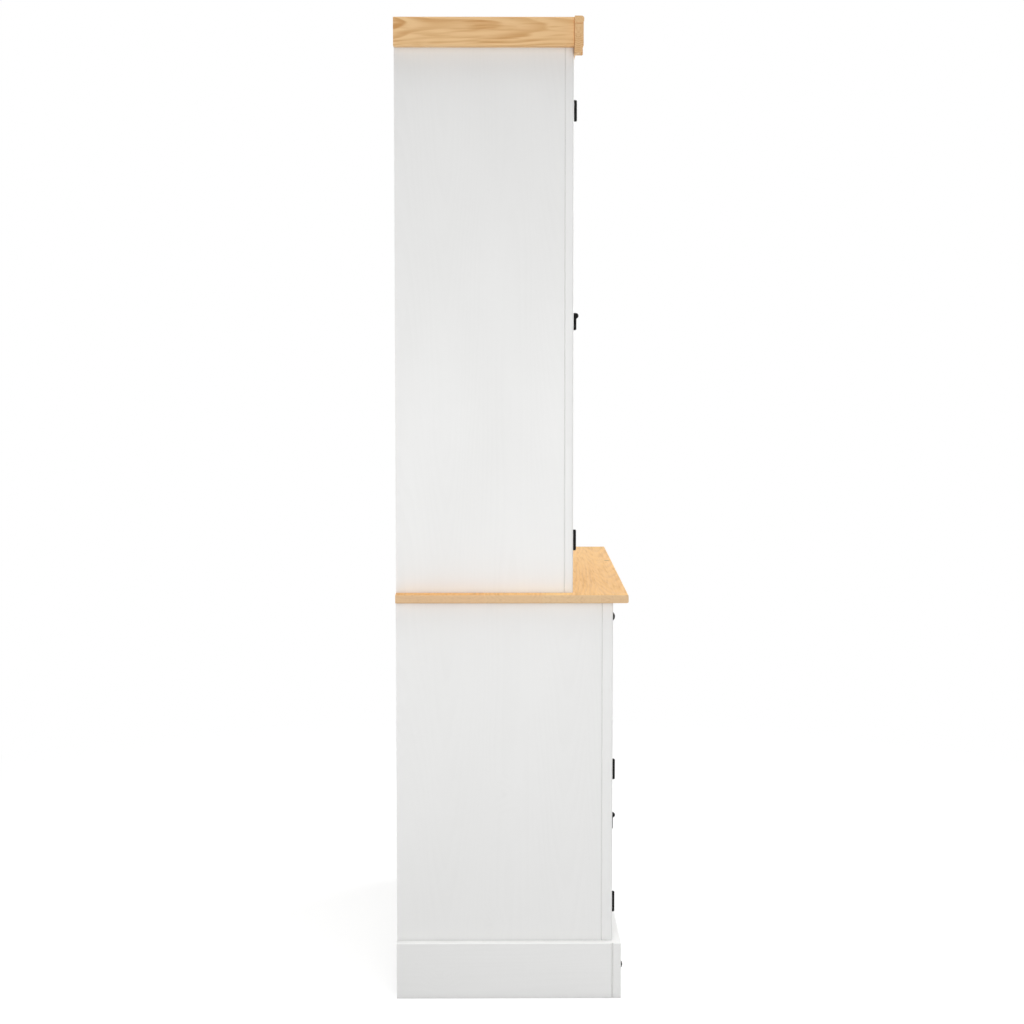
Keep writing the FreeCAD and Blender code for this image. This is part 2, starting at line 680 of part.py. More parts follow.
def pull_plate(x, face_y, z, thickness):
    """A leaf-shaped backplate with pointed ends."""
    tips = [FreeCAD.Vector(x, face_y, z + end * pull_plate_height / 2.0) for end in (-1, 1)]
    flanks = [FreeCAD.Vector(x + side * pull_plate_width / 2.0, face_y, z) for side in (-1, 1)]
    arcs = [Part.Arc(tips[0], flank, tips[1]).toShape() for flank in flanks]
    plate = Part.Face(Part.Wire(Part.__sortEdges__(arcs)))
    return plate.extrude(FreeCAD.Vector(0, -thickness, 0))


def pull_mount(x, face_y, z, plate_thickness):
    """A backplate with a flat-sided post that has a domed end, and the cross pin of the hanging drop."""
    plate_y = face_y - plate_thickness

    def place(radius, reach):
        return FreeCAD.Vector(x + radius, plate_y - reach, z)

    dome_start = pull_post_reach - pull_post_radius
    dome_middle = pull_post_radius * math.sqrt(0.5)
    corners = [place(0, -plate_thickness), place(pull_collar_radius, -plate_thickness),
               place(pull_collar_radius, 0), place(pull_post_radius, pull_collar_height),
               place(pull_post_radius, dome_start)]
    edges = [Part.LineSegment(start, end).toShape() for start, end in zip(corners, corners[1:])]
    dome = Part.Arc(corners[-1], place(dome_middle, dome_start + dome_middle), place(0, pull_post_reach))
    edges += [dome.toShape(), Part.LineSegment(place(0, pull_post_reach), corners[0]).toShape()]
    turned = Part.Face(Part.Wire(edges)).revolve(corners[0], FreeCAD.Vector(0, 1, 0), 360)

    cheek_y = (plate_y - pull_post_reach - overrun, plate_y - pull_collar_height)
    cheek_z = (z - pull_post_radius - overrun, z + pull_post_radius + overrun)
    cheek_x = (x + pull_post_width / 2.0, x + pull_collar_radius + overrun)
    other_x = (x - pull_collar_radius - overrun, x - pull_post_width / 2.0)
    turned = turned.cut(board(cheek_x, cheek_y, cheek_z)).cut(board(other_x, cheek_y, cheek_z))

    pin_length = pull_post_width + 2.0 * (pull_side_gap + pull_arm_thickness)
    pin_start = (x - pin_length / 2.0, plate_y - pull_pivot_reach, z)
    pin = cylinder(pull_pin_radius, pin_start, (1, 0, 0), pin_length)
    casting = pull_plate(x, face_y, z, plate_thickness).fuse(turned).removeSplitter()
    return [casting.cut(pin), pin]


def pull_drop(x, face_y, z, plate_thickness):
    """A forked drop that hangs from the cross pin, with a round bulb at its lower end."""
    pivot_y = face_y - plate_thickness - pull_pivot_reach
    slot_half = pull_post_width / 2.0 + pull_side_gap
    fork_half = slot_half + pull_arm_thickness
    fork_depth = pull_post_reach - pull_pivot_reach + pull_end_gap
    shoulder_z = fork_depth + pull_arm_thickness
    bulb_z = pull_drop_length - pull_drop_bulb_radius
    half_thickness = pull_drop_thickness / 2.0
    points = [(fork_half, 0), (fork_half, fork_depth), (pull_drop_neck_radius, shoulder_z),
              (pull_drop_neck_radius, bulb_z)]
    points += [(-across, down) for across, down in reversed(points)]

    def place(across, down):
        return FreeCAD.Vector(x + across, pivot_y - half_thickness, z - down)

    drop_y = (pivot_y - half_thickness, pivot_y + half_thickness)
    drop = outline_face(points, place).extrude(FreeCAD.Vector(0, pull_drop_thickness, 0))
    bulb = Part.makeSphere(pull_drop_bulb_radius, FreeCAD.Vector(x, pivot_y, z - bulb_z))
    slab = board((x - pull_drop_length, x + pull_drop_length), drop_y, (z - pull_drop_length - overrun, z))
    drop = drop.fuse(bulb.common(slab))
    drop = drop.fuse(cylinder(half_thickness, (x - fork_half, pivot_y, z), (1, 0, 0), 2.0 * fork_half))
    slot_z = (z - fork_depth, z + pull_drop_thickness)
    slot = board((x - slot_half, x + slot_half), grown(drop_y, overrun), slot_z)
    bore = cylinder(pull_pin_radius + pin_running_gap, (x - fork_half - overrun, pivot_y, z), (1, 0, 0),
                    2.0 * (fork_half + overrun))
    return drop.cut(slot).cut(bore).removeSplitter()


def save_pull(left_owner, right_owner, place, plate_thickness):
    """Write the pulls of a left door and of its right-hand twin."""
    save_pair(left_owner + "_pull_mount", right_owner + "_pull_mount", pull_mount(*place, plate_thickness))
    save_pair(left_owner + "_pull_drop", right_owner + "_pull_drop", [pull_drop(*place, plate_thickness)])


def build_drawer():
    """Drawer front with a raised field, box, bottom panel and pull."""
    front_x = (-base_opening_x + door_gap, base_opening_x - door_gap)
    front_z = (drawer_opening_bottom_z + door_gap, drawer_opening_top_z - door_gap)
    front_back_y = base_front_y + drawer_front_thickness
    margin_y = base_front_y + drawer_field_raise
    bottom_z = (drawer_bottom_z + drawer_bottom_lift,
                drawer_bottom_z + drawer_bottom_lift + drawer_bottom_thickness)
    groove_z = grown(bottom_z, groove_fit)
    bottom_x = drawer_side_inner_x + drawer_groove_depth - groove_fit

    front = board(front_x, (margin_y, front_back_y), front_z)
    front = front.fuse(raised_field(front_x, front_z, margin_y, drawer_field_raise, drawer_field_bevel,
                                    drawer_field_step))
    front = front.makeFillet(drawer_edge_radius, front_loop(front, front_x, front_z, margin_y))
    front_groove_x = grown((-bottom_x, bottom_x), groove_fit)
    front_groove_y = (front_back_y - drawer_groove_depth, front_back_y + overrun)
    save("drawer_front", [front.cut(board(front_groove_x, front_groove_y, groove_z)).removeSplitter()])

    side_z = (drawer_bottom_z, drawer_top_z)
    side = board((-drawer_side_x, -drawer_side_inner_x), (front_back_y, drawer_back_y), side_z)
    side_groove_x = (-drawer_side_inner_x - drawer_groove_depth, overrun - drawer_side_inner_x)
    side = side.cut(board(side_groove_x, (front_back_y - overrun, drawer_back_y + overrun), groove_z))
    inner_x = (-drawer_side_inner_x, drawer_side_inner_x)
    back = board(inner_x, (drawer_back_y - drawer_side_thickness, drawer_back_y), (bottom_z[1], drawer_top_z))
    save("drawer_box", [side, mirrored(side), back])

    bottom_y = (front_back_y - drawer_groove_depth + groove_fit, drawer_back_y)
    save("drawer_bottom", [board((-bottom_x, bottom_x), bottom_y, bottom_z)])

    pull_z = (front_z[0] + front_z[1]) / 2.0 + drawer_pull_rise
    save("drawer_pull_mount", pull_mount(0, base_front_y, pull_z, pull_plate_thickness))
    save("drawer_pull_drop", [pull_drop(0, base_front_y, pull_z, pull_plate_thickness)])


def build_runners():
    """Bearers, guides, kickers and stops of the drawer, on the base side panels."""
    y_span = (base_frame_back_y, back_inner_y)
    guide_z = (drawer_opening_bottom_z, drawer_opening_bottom_z + guide_height)
    bearing_x = (-base_inner_x, -drawer_side_inner_x)
    pieces = [
        board(bearing_x, y_span, (bearer_bottom_z, drawer_opening_bottom_z)),
        board((-base_inner_x, -guide_x), y_span, guide_z),
        board(bearing_x, y_span, (drawer_top_z + drawer_kicker_gap, drawer_opening_top_z)),
        board((-guide_x, -drawer_side_inner_x), (drawer_back_y + drawer_running_gap, back_inner_y), guide_z),
    ]
    save("drawer_runners", pieces + [mirrored(piece) for piece in pieces])


def stud(x, face_y, z):
    """A dome-headed stud on a face that looks to the front."""
    sphere_radius = (stud_radius ** 2 + stud_height ** 2) / (2.0 * stud_height)
    sphere = Part.makeSphere(sphere_radius, FreeCAD.Vector(x, face_y - stud_height + sphere_radius, z))
    reach = sphere_radius + overrun
    return sphere.common(board((x - reach, x + reach), (face_y - reach, face_y), (z - reach, z + reach)))


def build_studs():
    """Studs at the tops of the base stiles and on the plinth below them."""
    stud_x = stud_side_inset - base_side_x
    studs = [stud(stud_x, base_front_y, carcass_top_z - base_stud_drop),
             stud(stud_x, plinth_front_y, plinth_height / 2.0)]
    save("decorative_studs", studs + [mirrored(piece) for piece in studs])


def build_catches():
    """Catch blocks on the backs of the centre stiles, which the closed doors meet."""
    def catch(stile_width, frame_back_y, bottom_z):
        half = stile_width / 2.0 + catch_reach
        y_span = (frame_back_y, frame_back_y + catch_depth)
        return board((-half, half), y_span, (bottom_z, bottom_z + catch_height))

    below_top = catch_end_inset + catch_height
    save("door_catches", [
        catch(base_centre_stile_width, base_frame_back_y, base_opening_top_z - below_top),
        catch(hutch_centre_stile_width, hutch_frame_back_y, hutch_opening_top_z - below_top),
        catch(hutch_centre_stile_width, hutch_frame_back_y, hutch_floor_z + catch_end_inset),
    ])


build_plinth()
build_base()
build_worktop()
build_hutch()
build_shelves()
build_cornice()
build_runners()
build_drawer()
build_base_doors()
build_hutch_doors()
build_frame_hinges()
build_studs()
build_catches()
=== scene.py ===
"""Looks of a tall cupboard: finishes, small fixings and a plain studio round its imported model."""

import logging
import math
from dataclasses import dataclass
from enum import Enum
from typing import Callable, ClassVar, Iterable, Sequence, Union

import bmesh
import bpy
from mathutils import Matrix, Vector


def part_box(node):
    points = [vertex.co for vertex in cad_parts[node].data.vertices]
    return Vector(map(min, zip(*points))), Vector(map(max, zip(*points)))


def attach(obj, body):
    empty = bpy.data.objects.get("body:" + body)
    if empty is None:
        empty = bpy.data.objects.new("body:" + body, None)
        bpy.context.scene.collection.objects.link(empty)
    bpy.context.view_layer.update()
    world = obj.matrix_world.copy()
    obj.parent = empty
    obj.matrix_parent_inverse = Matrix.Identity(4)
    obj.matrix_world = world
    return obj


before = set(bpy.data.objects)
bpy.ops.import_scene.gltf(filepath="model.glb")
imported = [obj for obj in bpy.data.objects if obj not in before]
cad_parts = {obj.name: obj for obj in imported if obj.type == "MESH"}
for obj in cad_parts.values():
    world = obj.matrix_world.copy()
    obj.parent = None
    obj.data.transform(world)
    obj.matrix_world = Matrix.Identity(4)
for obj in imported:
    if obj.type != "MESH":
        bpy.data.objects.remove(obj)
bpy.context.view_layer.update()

LOG = logging.getLogger("tall_cupboard")
IRON_SLOT = "black_iron"
MM = 0.001

# The curve from display colours to linear light
DISPLAY_WHITE = 255.0
TOE_END = 0.04045
TOE_SLOPE = 12.92
CURVE_LIFT = 0.055
CURVE_POWER = 2.4

Colour = tuple[float, float, float]
Socket = bpy.types.NodeSocket
Sockets = dict[str, bpy.types.NodeSocket]
Feed = Union[float, Sequence[float], bpy.types.NodeSocket]


def tint(red: int, green: int, blue: int) -> Colour:
    """A display colour, 0 to 255 a channel, as the linear colour that shaders use.

    Args:
        red: Red channel of the display colour.
        green: Green channel of the display colour.
        blue: Blue channel of the display colour.

    Returns:
        The three linear channels.
    """
    def linear(channel: int) -> float:
        """One channel as linear light."""
        share = channel / DISPLAY_WHITE
        if share <= TOE_END:
            return share / TOE_SLOPE
        return ((share + CURVE_LIFT) / (1.0 + CURVE_LIFT)) ** CURVE_POWER

    return (linear(red), linear(green), linear(blue))


class Grain(Enum):
    """The way that a board lies, as the axes that run across its face, through it and along its grain."""

    SHELF = ("Y", "Z", "X")
    RAIL = ("Z", "Y", "X")
    STILE = ("X", "Y", "Z")
    SIDE = ("Y", "X", "Z")
    END = ("Z", "X", "Y")
    BATTEN = ("X", "Z", "Y")


class Level(Enum):
    """A level of the cupboard, as the first word in the names of its pieces."""

    BASE = "base"
    HUTCH = "hutch"


class Side(Enum):
    """A side of the cupboard, as the sign of its X coordinates."""

    LEFT = -1
    RIGHT = 1


class Facing(Enum):
    """The way that an upright face looks, as the turn about X that tips +Z there."""

    FRONT = 90.0
    BACK = -90.0


@dataclass(frozen=True)
class Ramp:
    """An eased rise: the values between which it runs, and what it gives at either end."""

    low: float
    high: float
    start: float = 0.0
    end: float = 1.0


@dataclass(frozen=True)
class Mottle:
    """A soft noise: its blobs to a metre, its finer layers, and how much of the length along grain counts."""

    fineness: Feed
    detail: float = 2.0
    along: float = 1.0


class Wiring:
    """Adds nodes to one node tree and joins their sockets."""

    def __init__(self, tree: bpy.types.NodeTree) -> None:
        """Keep the tree that the nodes go into."""
        self.tree = tree

    @classmethod
    def fresh(cls, owner: Union[bpy.types.Material, bpy.types.World]) -> "Wiring":
        """The wiring of a new material or world, emptied of its first nodes.

        Args:
            owner: Material or world that holds the tree.

        Returns:
            The wiring.
        """
        owner.use_nodes = True
        owner.node_tree.nodes.clear()
        return cls(owner.node_tree)

    def add(self, kind: str, **settings: object) -> bpy.types.Node:
        """Add one node.

        Args:
            kind: Name of the node type, without its ShaderNode prefix.
            **settings: Properties to set on the node.

        Returns:
            The new node.
        """
        node = self.tree.nodes.new("ShaderNode" + kind)
        for name, value in settings.items():
            setattr(node, name, value)
        return node

    def feed(self, target: Socket, source: Feed) -> None:
        """Link a socket to an input, or set the input's own value.

        Args:
            target: Input socket that is fed.
            source: Output socket, number, vector or colour.
        """
        if isinstance(source, bpy.types.NodeSocket):
            self.tree.links.new(source, target)
        elif isinstance(source, (int, float)):
            target.default_value = source
        elif target.type == "RGBA":
            target.default_value = (*source, 1.0)
        else:
            target.default_value = tuple(source)

    def feed_all(self, node: bpy.types.Node, *sources: Feed) -> Socket:
        """Feed a node's inputs in their order.

        Args:
            node: Node that is fed.
            *sources: Output socket, number, vector or colour for each input.

        Returns:
            The node's first output.
        """
        for socket, source in zip(node.inputs, sources):
            self.feed(socket, source)
        return node.outputs[0]

    def math(self, operation: str, first: Feed, second: Feed = 0.0) -> Socket:
        """The result of one sum on numbers.

        Args:
            operation: Name of the sum.
            first: First number.
            second: Second number, where the sum has one.

        Returns:
            The output socket.
        """
        return self.feed_all(self.add("Math", operation=operation), first, second)

    def plus(self, first: Feed, second: Feed, share: Feed) -> Socket:
        """A number with a share of another added to it.

        Args:
            first: Number that counts in full.
            second: Number that is added.
            share: Share of the second number.

        Returns:
            The output socket.
        """
        return self.math("ADD", first, self.math("MULTIPLY", second, share))

    def weighed(self, first: Feed, first_share: float, second: Feed, second_share: float) -> Socket:
        """The sum of two numbers, each at its own share.

        Args:
            first: First number.
            first_share: Its share.
            second: Second number.
            second_share: Its share.

        Returns:
            The output socket.
        """
        return self.plus(self.math("MULTIPLY", first, first_share), second, second_share)

    def centred(self, value: Feed) -> Socket:
        """A number of 0 to 1 moved to lie about 0."""
        return self.math("SUBTRACT", value, 0.5)

    def parts(self, whole: Feed, kind: str = "XYZ") -> Sockets:
        """The three parts of a vector or colour.

        Args:
            whole: Vector or colour.
            kind: XYZ for a vector, Color for a colour.

        Returns:
            The part for each axis or channel, by name.
        """
        node = self.add("Separate" + kind)
        self.feed(node.inputs[0], whole)
        return {socket.name: socket for socket in node.outputs}

    def joined(self, first: Feed, second: Feed, third: Feed) -> Socket:
        """A vector made of three numbers.

        Args:
            first: First part.
            second: Second part.
            third: Third part.

        Returns:
            The output socket.
        """
        return self.feed_all(self.add("CombineXYZ"), first, second, third)

    def along_board(self, vector: Feed, grain: Grain) -> Socket:
        """A vector with its parts in the order across, through and along the board.

        Args:
            vector: Vector in the object's own axes.
            grain: The way that the board lies.

        Returns:
            The output socket.
        """
        parts = self.parts(vector)
        return self.joined(*(parts[axis] for axis in grain.value))

    def noise(self, place: Feed, mottle: Mottle) -> Socket:
        """A soft noise over space.

        Args:
            place: Place as across, through and along.
            mottle: The noise's fineness, layers and stretch.

        Returns:
            The noise value, about 0 to 1.
        """
        if mottle.along != 1.0:
            stretch = self.add("VectorMath", operation="MULTIPLY")
            place = self.feed_all(stretch, place, (1.0, 1.0, mottle.along))
        node = self.add("TexNoise")
        self.feed(node.inputs["Vector"], place)
        self.feed(node.inputs["Scale"], mottle.fineness)
        self.feed(node.inputs["Detail"], mottle.detail)
        return node.outputs[0]

    def span(self, value: Feed, ramp: Ramp) -> Socket:
        """A value eased from one range to another and held at its ends.

        Args:
            value: Value to map.
            ramp: The two ranges.

        Returns:
            The output socket.
        """
        node = self.add("MapRange", interpolation_type="SMOOTHSTEP")
        return self.feed_all(node, value, ramp.low, ramp.high, ramp.start, ramp.end)

    def blend(self, share: Feed, first: Feed, second: Feed) -> Socket:
        """A mix of two colours.

        Args:
            share: Share of the second colour.
            first: First colour.
            second: Second colour.

        Returns:
            The output socket.
        """
        node = self.add("Mix", data_type="RGBA")
        colours = [socket for socket in node.inputs if socket.type == "RGBA"]
        self.feed(node.inputs[0], share)
        self.feed(colours[0], first)
        self.feed(colours[1], second)
        return next(socket for socket in node.outputs if socket.type == "RGBA")

    def laid(self, colour: Feed, over: Feed, mask: Feed, show: float) -> Socket:
        """A colour with another laid over it through a mask.

        Args:
            colour: Colour underneath.
            over: Colour that is laid over it.
            mask: Where the upper colour lies.
            show: Share of it that shows there.

        Returns:
            The output socket.
        """
        return self.blend(self.math("MULTIPLY", mask, show), colour, over)

    def relief(self, height: Feed, depth: float) -> Socket:
        """A normal that follows a height.

        Args:
            height: Height, about 0 to 1.
            depth: Depth in metres of a height of 1.

        Returns:
            The normal.
        """
        node = self.add("Bump")
        self.feed(node.inputs["Strength"], 1.0)
        self.feed(node.inputs["Distance"], depth)
        self.feed(node.inputs["Height"], height)
        return node.outputs["Normal"]


@dataclass(frozen=True)
class Spot:
    """A spot on a piece, with its place and normal as across, through and along."""

    place: Socket
    normal: Socket


class Effect:
    """A surface effect that several finishes share, kept as one node group."""

    title: ClassVar[str]
    takes: ClassVar[Sequence[tuple[str, str]]]
    gives: ClassVar[Sequence[str]]

    def wire(self, wiring: Wiring, given: Sockets) -> Sockets:
        """Build the effect inside its group.

        Args:
            wiring: Wiring of the group.
            given: The group's inputs by name.

        Returns:
            The socket for each of the group's outputs, by name.
        """
        raise NotImplementedError

    def group(self) -> bpy.types.NodeTree:
        """The effect's node group, built on its first use.

        Returns:
            The node group.
        """
        found = bpy.data.node_groups.get(self.title)
        if found is not None:
            return found
        tree = bpy.data.node_groups.new(self.title, "ShaderNodeTree")
        for name, kind in self.takes:
            tree.interface.new_socket(name=name, in_out="INPUT", socket_type="NodeSocket" + kind)
        for name in self.gives:
            tree.interface.new_socket(name=name, in_out="OUTPUT", socket_type="NodeSocketFloat")
        entry = tree.nodes.new("NodeGroupInput")
        leave = tree.nodes.new("NodeGroupOutput")
        given = {name: entry.outputs[name] for name, _ in self.takes}
        wiring = Wiring(tree)
        for name, socket in self.wire(wiring, given).items():
            wiring.feed(leave.inputs[name], socket)
        return tree

    def place(self, wiring: Wiring, **feeds: Feed) -> Sockets:
        """Put the effect into a material.

        Args:
            wiring: Wiring of the material.
            **feeds: Value or socket for each input, named in lower case with _ for a blank.

        Returns:
            The effect's outputs by name.
        """
        node = wiring.add("Group", node_tree=self.group())
        for name, _ in self.takes:
            wiring.feed(node.inputs[name], feeds[name.lower().replace(" ", "_")])
        return {name: node.outputs[name] for name in self.gives}


class TimberFigure(Effect):
    """Growth rings, fibres and knots of boards that are glued edge to edge, as they run through the wood."""

    title = "Timber figure"
    takes = (("Place", "Vector"), ("Board Width", "Float"), ("Ring Gap", "Float"), ("Wander", "Float"),
             ("Knot Share", "Float"), ("Seed", "Float"))
    gives = ("Ring", "Fibre", "Fleck", "Tone", "Knot")

    chance_step: ClassVar[float] = 1.37
    trunk_length: ClassVar[float] = 7.0
    face_room: ClassVar[float] = 30.0 * MM
    pith_depth: ClassVar[float] = 10.0 * MM
    pith_depth_spread: ClassVar[float] = 30.0 * MM
    pith_lean: ClassVar[float] = 60.0 * MM
    taper: ClassVar[float] = 0.16

    knots_per_metre: ClassVar[float] = 4.2
    knot_shift: ClassVar[float] = 3.1
    knot_radius: ClassVar[float] = 7.0 * MM
    knot_edge: ClassVar[Mottle] = Mottle(120.0)
    knot_heart: ClassVar[Ramp] = Ramp(0.3 * knot_radius, knot_radius, 1.0, 0.0)
    knot_reach: ClassVar[Ramp] = Ramp(0.0, 42.0 * MM, 1.0, 0.0)
    knot_bulge: ClassVar[float] = 13.0 * MM

    slow_wave: ClassVar[Mottle] = Mottle(9.0, 1.0, 0.22)
    quick_wave: ClassVar[Mottle] = Mottle(55.0, 1.0, 0.12)
    quick_share: ClassVar[float] = 0.16
    years: ClassVar[Mottle] = Mottle(42.0, 1.0)
    year_change: ClassVar[float] = 1.7
    late_rise: ClassVar[Ramp] = Ramp(0.15, 0.82)
    late_fall: ClassVar[Ramp] = Ramp(0.82, 1.0)
    patches: ClassVar[Mottle] = Mottle(22.0, 2.0, 0.2)
    patch_show: ClassVar[Ramp] = Ramp(0.32, 0.68, 0.25, 1.0)

    fibres: ClassVar[Mottle] = Mottle(620.0, 2.0, 0.035)
    flecks: ClassVar[Mottle] = Mottle(170.0, 2.0, 0.07)
    fleck_show: ClassVar[Ramp] = Ramp(0.5, 0.72)

    def wire(self, wiring: Wiring, given: Sockets) -> Sockets:
        """Build the figure inside its group.

        Args:
            wiring: Wiring of the group.
            given: The group's inputs by name.

        Returns:
            The socket for each of the group's outputs, by name.
        """
        board = self.board(wiring, given)
        knots = self.knots(wiring, given, board)
        slow = wiring.centred(wiring.noise(board["place"], self.slow_wave))
        bent_across = wiring.plus(board["pith_across"], slow, given["Wander"])
        bent = wiring.joined(bent_across, board["pith_through"], board["run"])
        return {
            "Ring": self.rings(wiring, given, board, slow, knots["bulge"]),
            "Fibre": wiring.noise(board["place"], self.fibres),
            "Fleck": wiring.span(wiring.noise(bent, self.flecks), self.fleck_show),
            "Tone": board["lean"],
            "Knot": knots["heart"],
        }

    def board(self, wiring: Wiring, given: Sockets) -> Sockets:
        """Where a spot lies in the trunk that its own board was cut from.

        Args:
            wiring: Wiring of the group.
            given: The group's inputs by name.

        Returns:
            The board's number and chances, and the spot's place from the pith and along the trunk, by name.
        """
        across, through, along = wiring.parts(given["Place"]).values()
        seated = wiring.math("ADD", wiring.math("DIVIDE", across, given["Board Width"]), given["Seed"])
        number = wiring.math("FLOOR", seated)
        offset = wiring.centred(wiring.math("SUBTRACT", seated, number))
        local = wiring.math("MULTIPLY", offset, given["Board Width"])
        chance = wiring.add("TexWhiteNoise", noise_dimensions="1D")
        wiring.feed(chance.inputs["W"], wiring.math("MULTIPLY", number, self.chance_step))
        lean, depth, start = wiring.parts(chance.outputs["Color"], "Color").values()

        pith_across = wiring.plus(local, wiring.centred(lean), self.pith_lean)
        pith_room = wiring.plus(self.pith_depth, depth, self.pith_depth_spread)
        pith_through = wiring.math("ADD", wiring.math("PINGPONG", through, self.face_room), pith_room)
        run = wiring.plus(along, start, self.trunk_length)
        return {
            "across": across,
            "along": along,
            "number": number,
            "lean": lean,
            "start": start,
            "pith_across": pith_across,
            "pith_through": pith_through,
            "run": run,
            "place": wiring.joined(pith_across, pith_through, run),
        }

    def knots(self, wiring: Wiring, given: Sockets, board: Sockets) -> Sockets:
        """The knots of a board, and how far the rings bulge round them.

        Args:
            wiring: Wiring of the group.
            given: The group's inputs by name.
            board: The spot's place in its own board, by name.

        Returns:
            Masks of the bulge and of the knot itself, by name.
        """
        cells = wiring.add("TexVoronoi", voronoi_dimensions="2D", feature="F1")
        shifted = wiring.plus(board["across"], board["number"], self.knot_shift)
        wiring.feed(cells.inputs["Vector"], wiring.joined(shifted, board["run"], 0.0))
        wiring.feed(cells.inputs["Scale"], self.knots_per_metre)
        distance = wiring.math("DIVIDE", cells.outputs["Distance"], self.knots_per_metre)
        ragged = wiring.centred(wiring.noise(board["place"], self.knot_edge))
        distance = wiring.plus(distance, ragged, self.knot_radius)
        chance = wiring.parts(cells.outputs["Color"], "Color")["Red"]
        grown = wiring.math("LESS_THAN", chance, given["Knot Share"])
        return {
            "bulge": wiring.math("MULTIPLY", grown, wiring.span(distance, self.knot_reach)),
            "heart": wiring.math("MULTIPLY", grown, wiring.span(distance, self.knot_heart)),
        }

    def rings(self, wiring: Wiring, given: Sockets, board: Sockets, slow: Socket, bulge: Socket) -> Socket:
        """How far a spot lies in the late wood of its growth ring.

        Args:
            wiring: Wiring of the group.
            given: The group's inputs by name.
            board: The spot's place in its own board, by name.
            slow: Slow wave of the rings, about 0.
            bulge: Mask of the bulge round the knots.

        Returns:
            The share of late wood.
        """
        quick = wiring.centred(wiring.noise(board["place"], self.quick_wave))
        wave = wiring.plus(slow, quick, self.quick_share)
        across_square = wiring.math("POWER", board["pith_across"], 2.0)
        through_square = wiring.math("POWER", board["pith_through"], 2.0)
        radius = wiring.math("SQRT", wiring.math("ADD", across_square, through_square))
        radius = wiring.plus(radius, wave, given["Wander"])
        radius = wiring.plus(radius, bulge, self.knot_bulge)
        tilt = wiring.math("MULTIPLY", wiring.centred(board["start"]), self.taper)
        radius = wiring.plus(radius, board["along"], tilt)
        years = wiring.centred(wiring.noise(wiring.joined(radius, board["lean"], 0.0), self.years))
        count = wiring.math("DIVIDE", radius, given["Ring Gap"])
        phase = wiring.math("FRACT", wiring.plus(count, years, self.year_change))
        late = wiring.math("SUBTRACT", wiring.span(phase, self.late_rise), wiring.span(phase, self.late_fall))
        patchy = wiring.span(wiring.noise(board["place"], self.patches), self.patch_show)
        return wiring.math("MULTIPLY", late, patchy)


class BrushMarks(Effect):
    """Fine streaks that a brush or a sander leaves along the grain, and slow changes of gloss."""

    title = "Brush marks"
    takes = (("Place", "Vector"), ("Fineness", "Float"))
    gives = ("Streak", "Patch")

    streak_detail: ClassVar[float] = 3.0
    streak_along: ClassVar[float] = 0.02
    patches: ClassVar[Mottle] = Mottle(7.0, 2.0, 0.4)

    def wire(self, wiring: Wiring, given: Sockets) -> Sockets:
        """Build the streaks inside their group.

        Args:
            wiring: Wiring of the group.
            given: The group's inputs by name.

        Returns:
            The socket for each of the group's outputs, by name.
        """
        streaks = Mottle(given["Fineness"], self.streak_detail, self.streak_along)
        return {
            "Streak": wiring.noise(given["Place"], streaks),
            "Patch": wiring.noise(given["Place"], self.patches),
        }


class WornEdge(Effect):
    """The thin line along an edge where handling takes the finish down."""

    title = "Worn edge"
    takes = (("Place", "Vector"), ("Reach", "Float"), ("Breaks", "Float"))
    gives = ("Mask",)

    samples: ClassVar[int] = 4
    bend: ClassVar[Ramp] = Ramp(0.01, 0.3)
    break_detail: ClassVar[float] = 3.0
    break_show: ClassVar[Ramp] = Ramp(0.35, 0.62)

    def wire(self, wiring: Wiring, given: Sockets) -> Sockets:
        """Build the edge mask inside its group.

        Args:
            wiring: Wiring of the group.
            given: The group's inputs by name.

        Returns:
            The socket for each of the group's outputs, by name.
        """
        rounded = wiring.add("Bevel", samples=self.samples)
        wiring.feed(rounded.inputs["Radius"], given["Reach"])
        face = wiring.add("NewGeometry")
        turn = wiring.add("VectorMath", operation="DOT_PRODUCT")
        wiring.feed_all(turn, rounded.outputs["Normal"], face.outputs["Normal"])
        edge = wiring.span(wiring.math("SUBTRACT", 1.0, turn.outputs["Value"]), self.bend)
        breaks = wiring.noise(given["Place"], Mottle(given["Breaks"], self.break_detail))
        return {"Mask": wiring.math("MULTIPLY", edge, wiring.span(breaks, self.break_show))}


class SettledDust(Effect):
    """A thin film that settles on faces that look up."""

    title = "Settled dust"
    takes = (("Place", "Vector"),)
    gives = ("Mask",)

    upward: ClassVar[Ramp] = Ramp(0.6, 0.95)
    cloud: ClassVar[Mottle] = Mottle(18.0, 4.0)
    cloud_show: ClassVar[Ramp] = Ramp(0.35, 0.7)

    def wire(self, wiring: Wiring, given: Sockets) -> Sockets:
        """Build the film inside its group.

        Args:
            wiring: Wiring of the group.
            given: The group's inputs by name.

        Returns:
            The socket for each of the group's outputs, by name.
        """
        face = wiring.add("NewGeometry")
        upward = wiring.span(wiring.parts(face.outputs["Normal"])["Z"], self.upward)
        cloud = wiring.span(wiring.noise(given["Place"], self.cloud), self.cloud_show)
        return {"Mask": wiring.math("MULTIPLY", upward, cloud)}


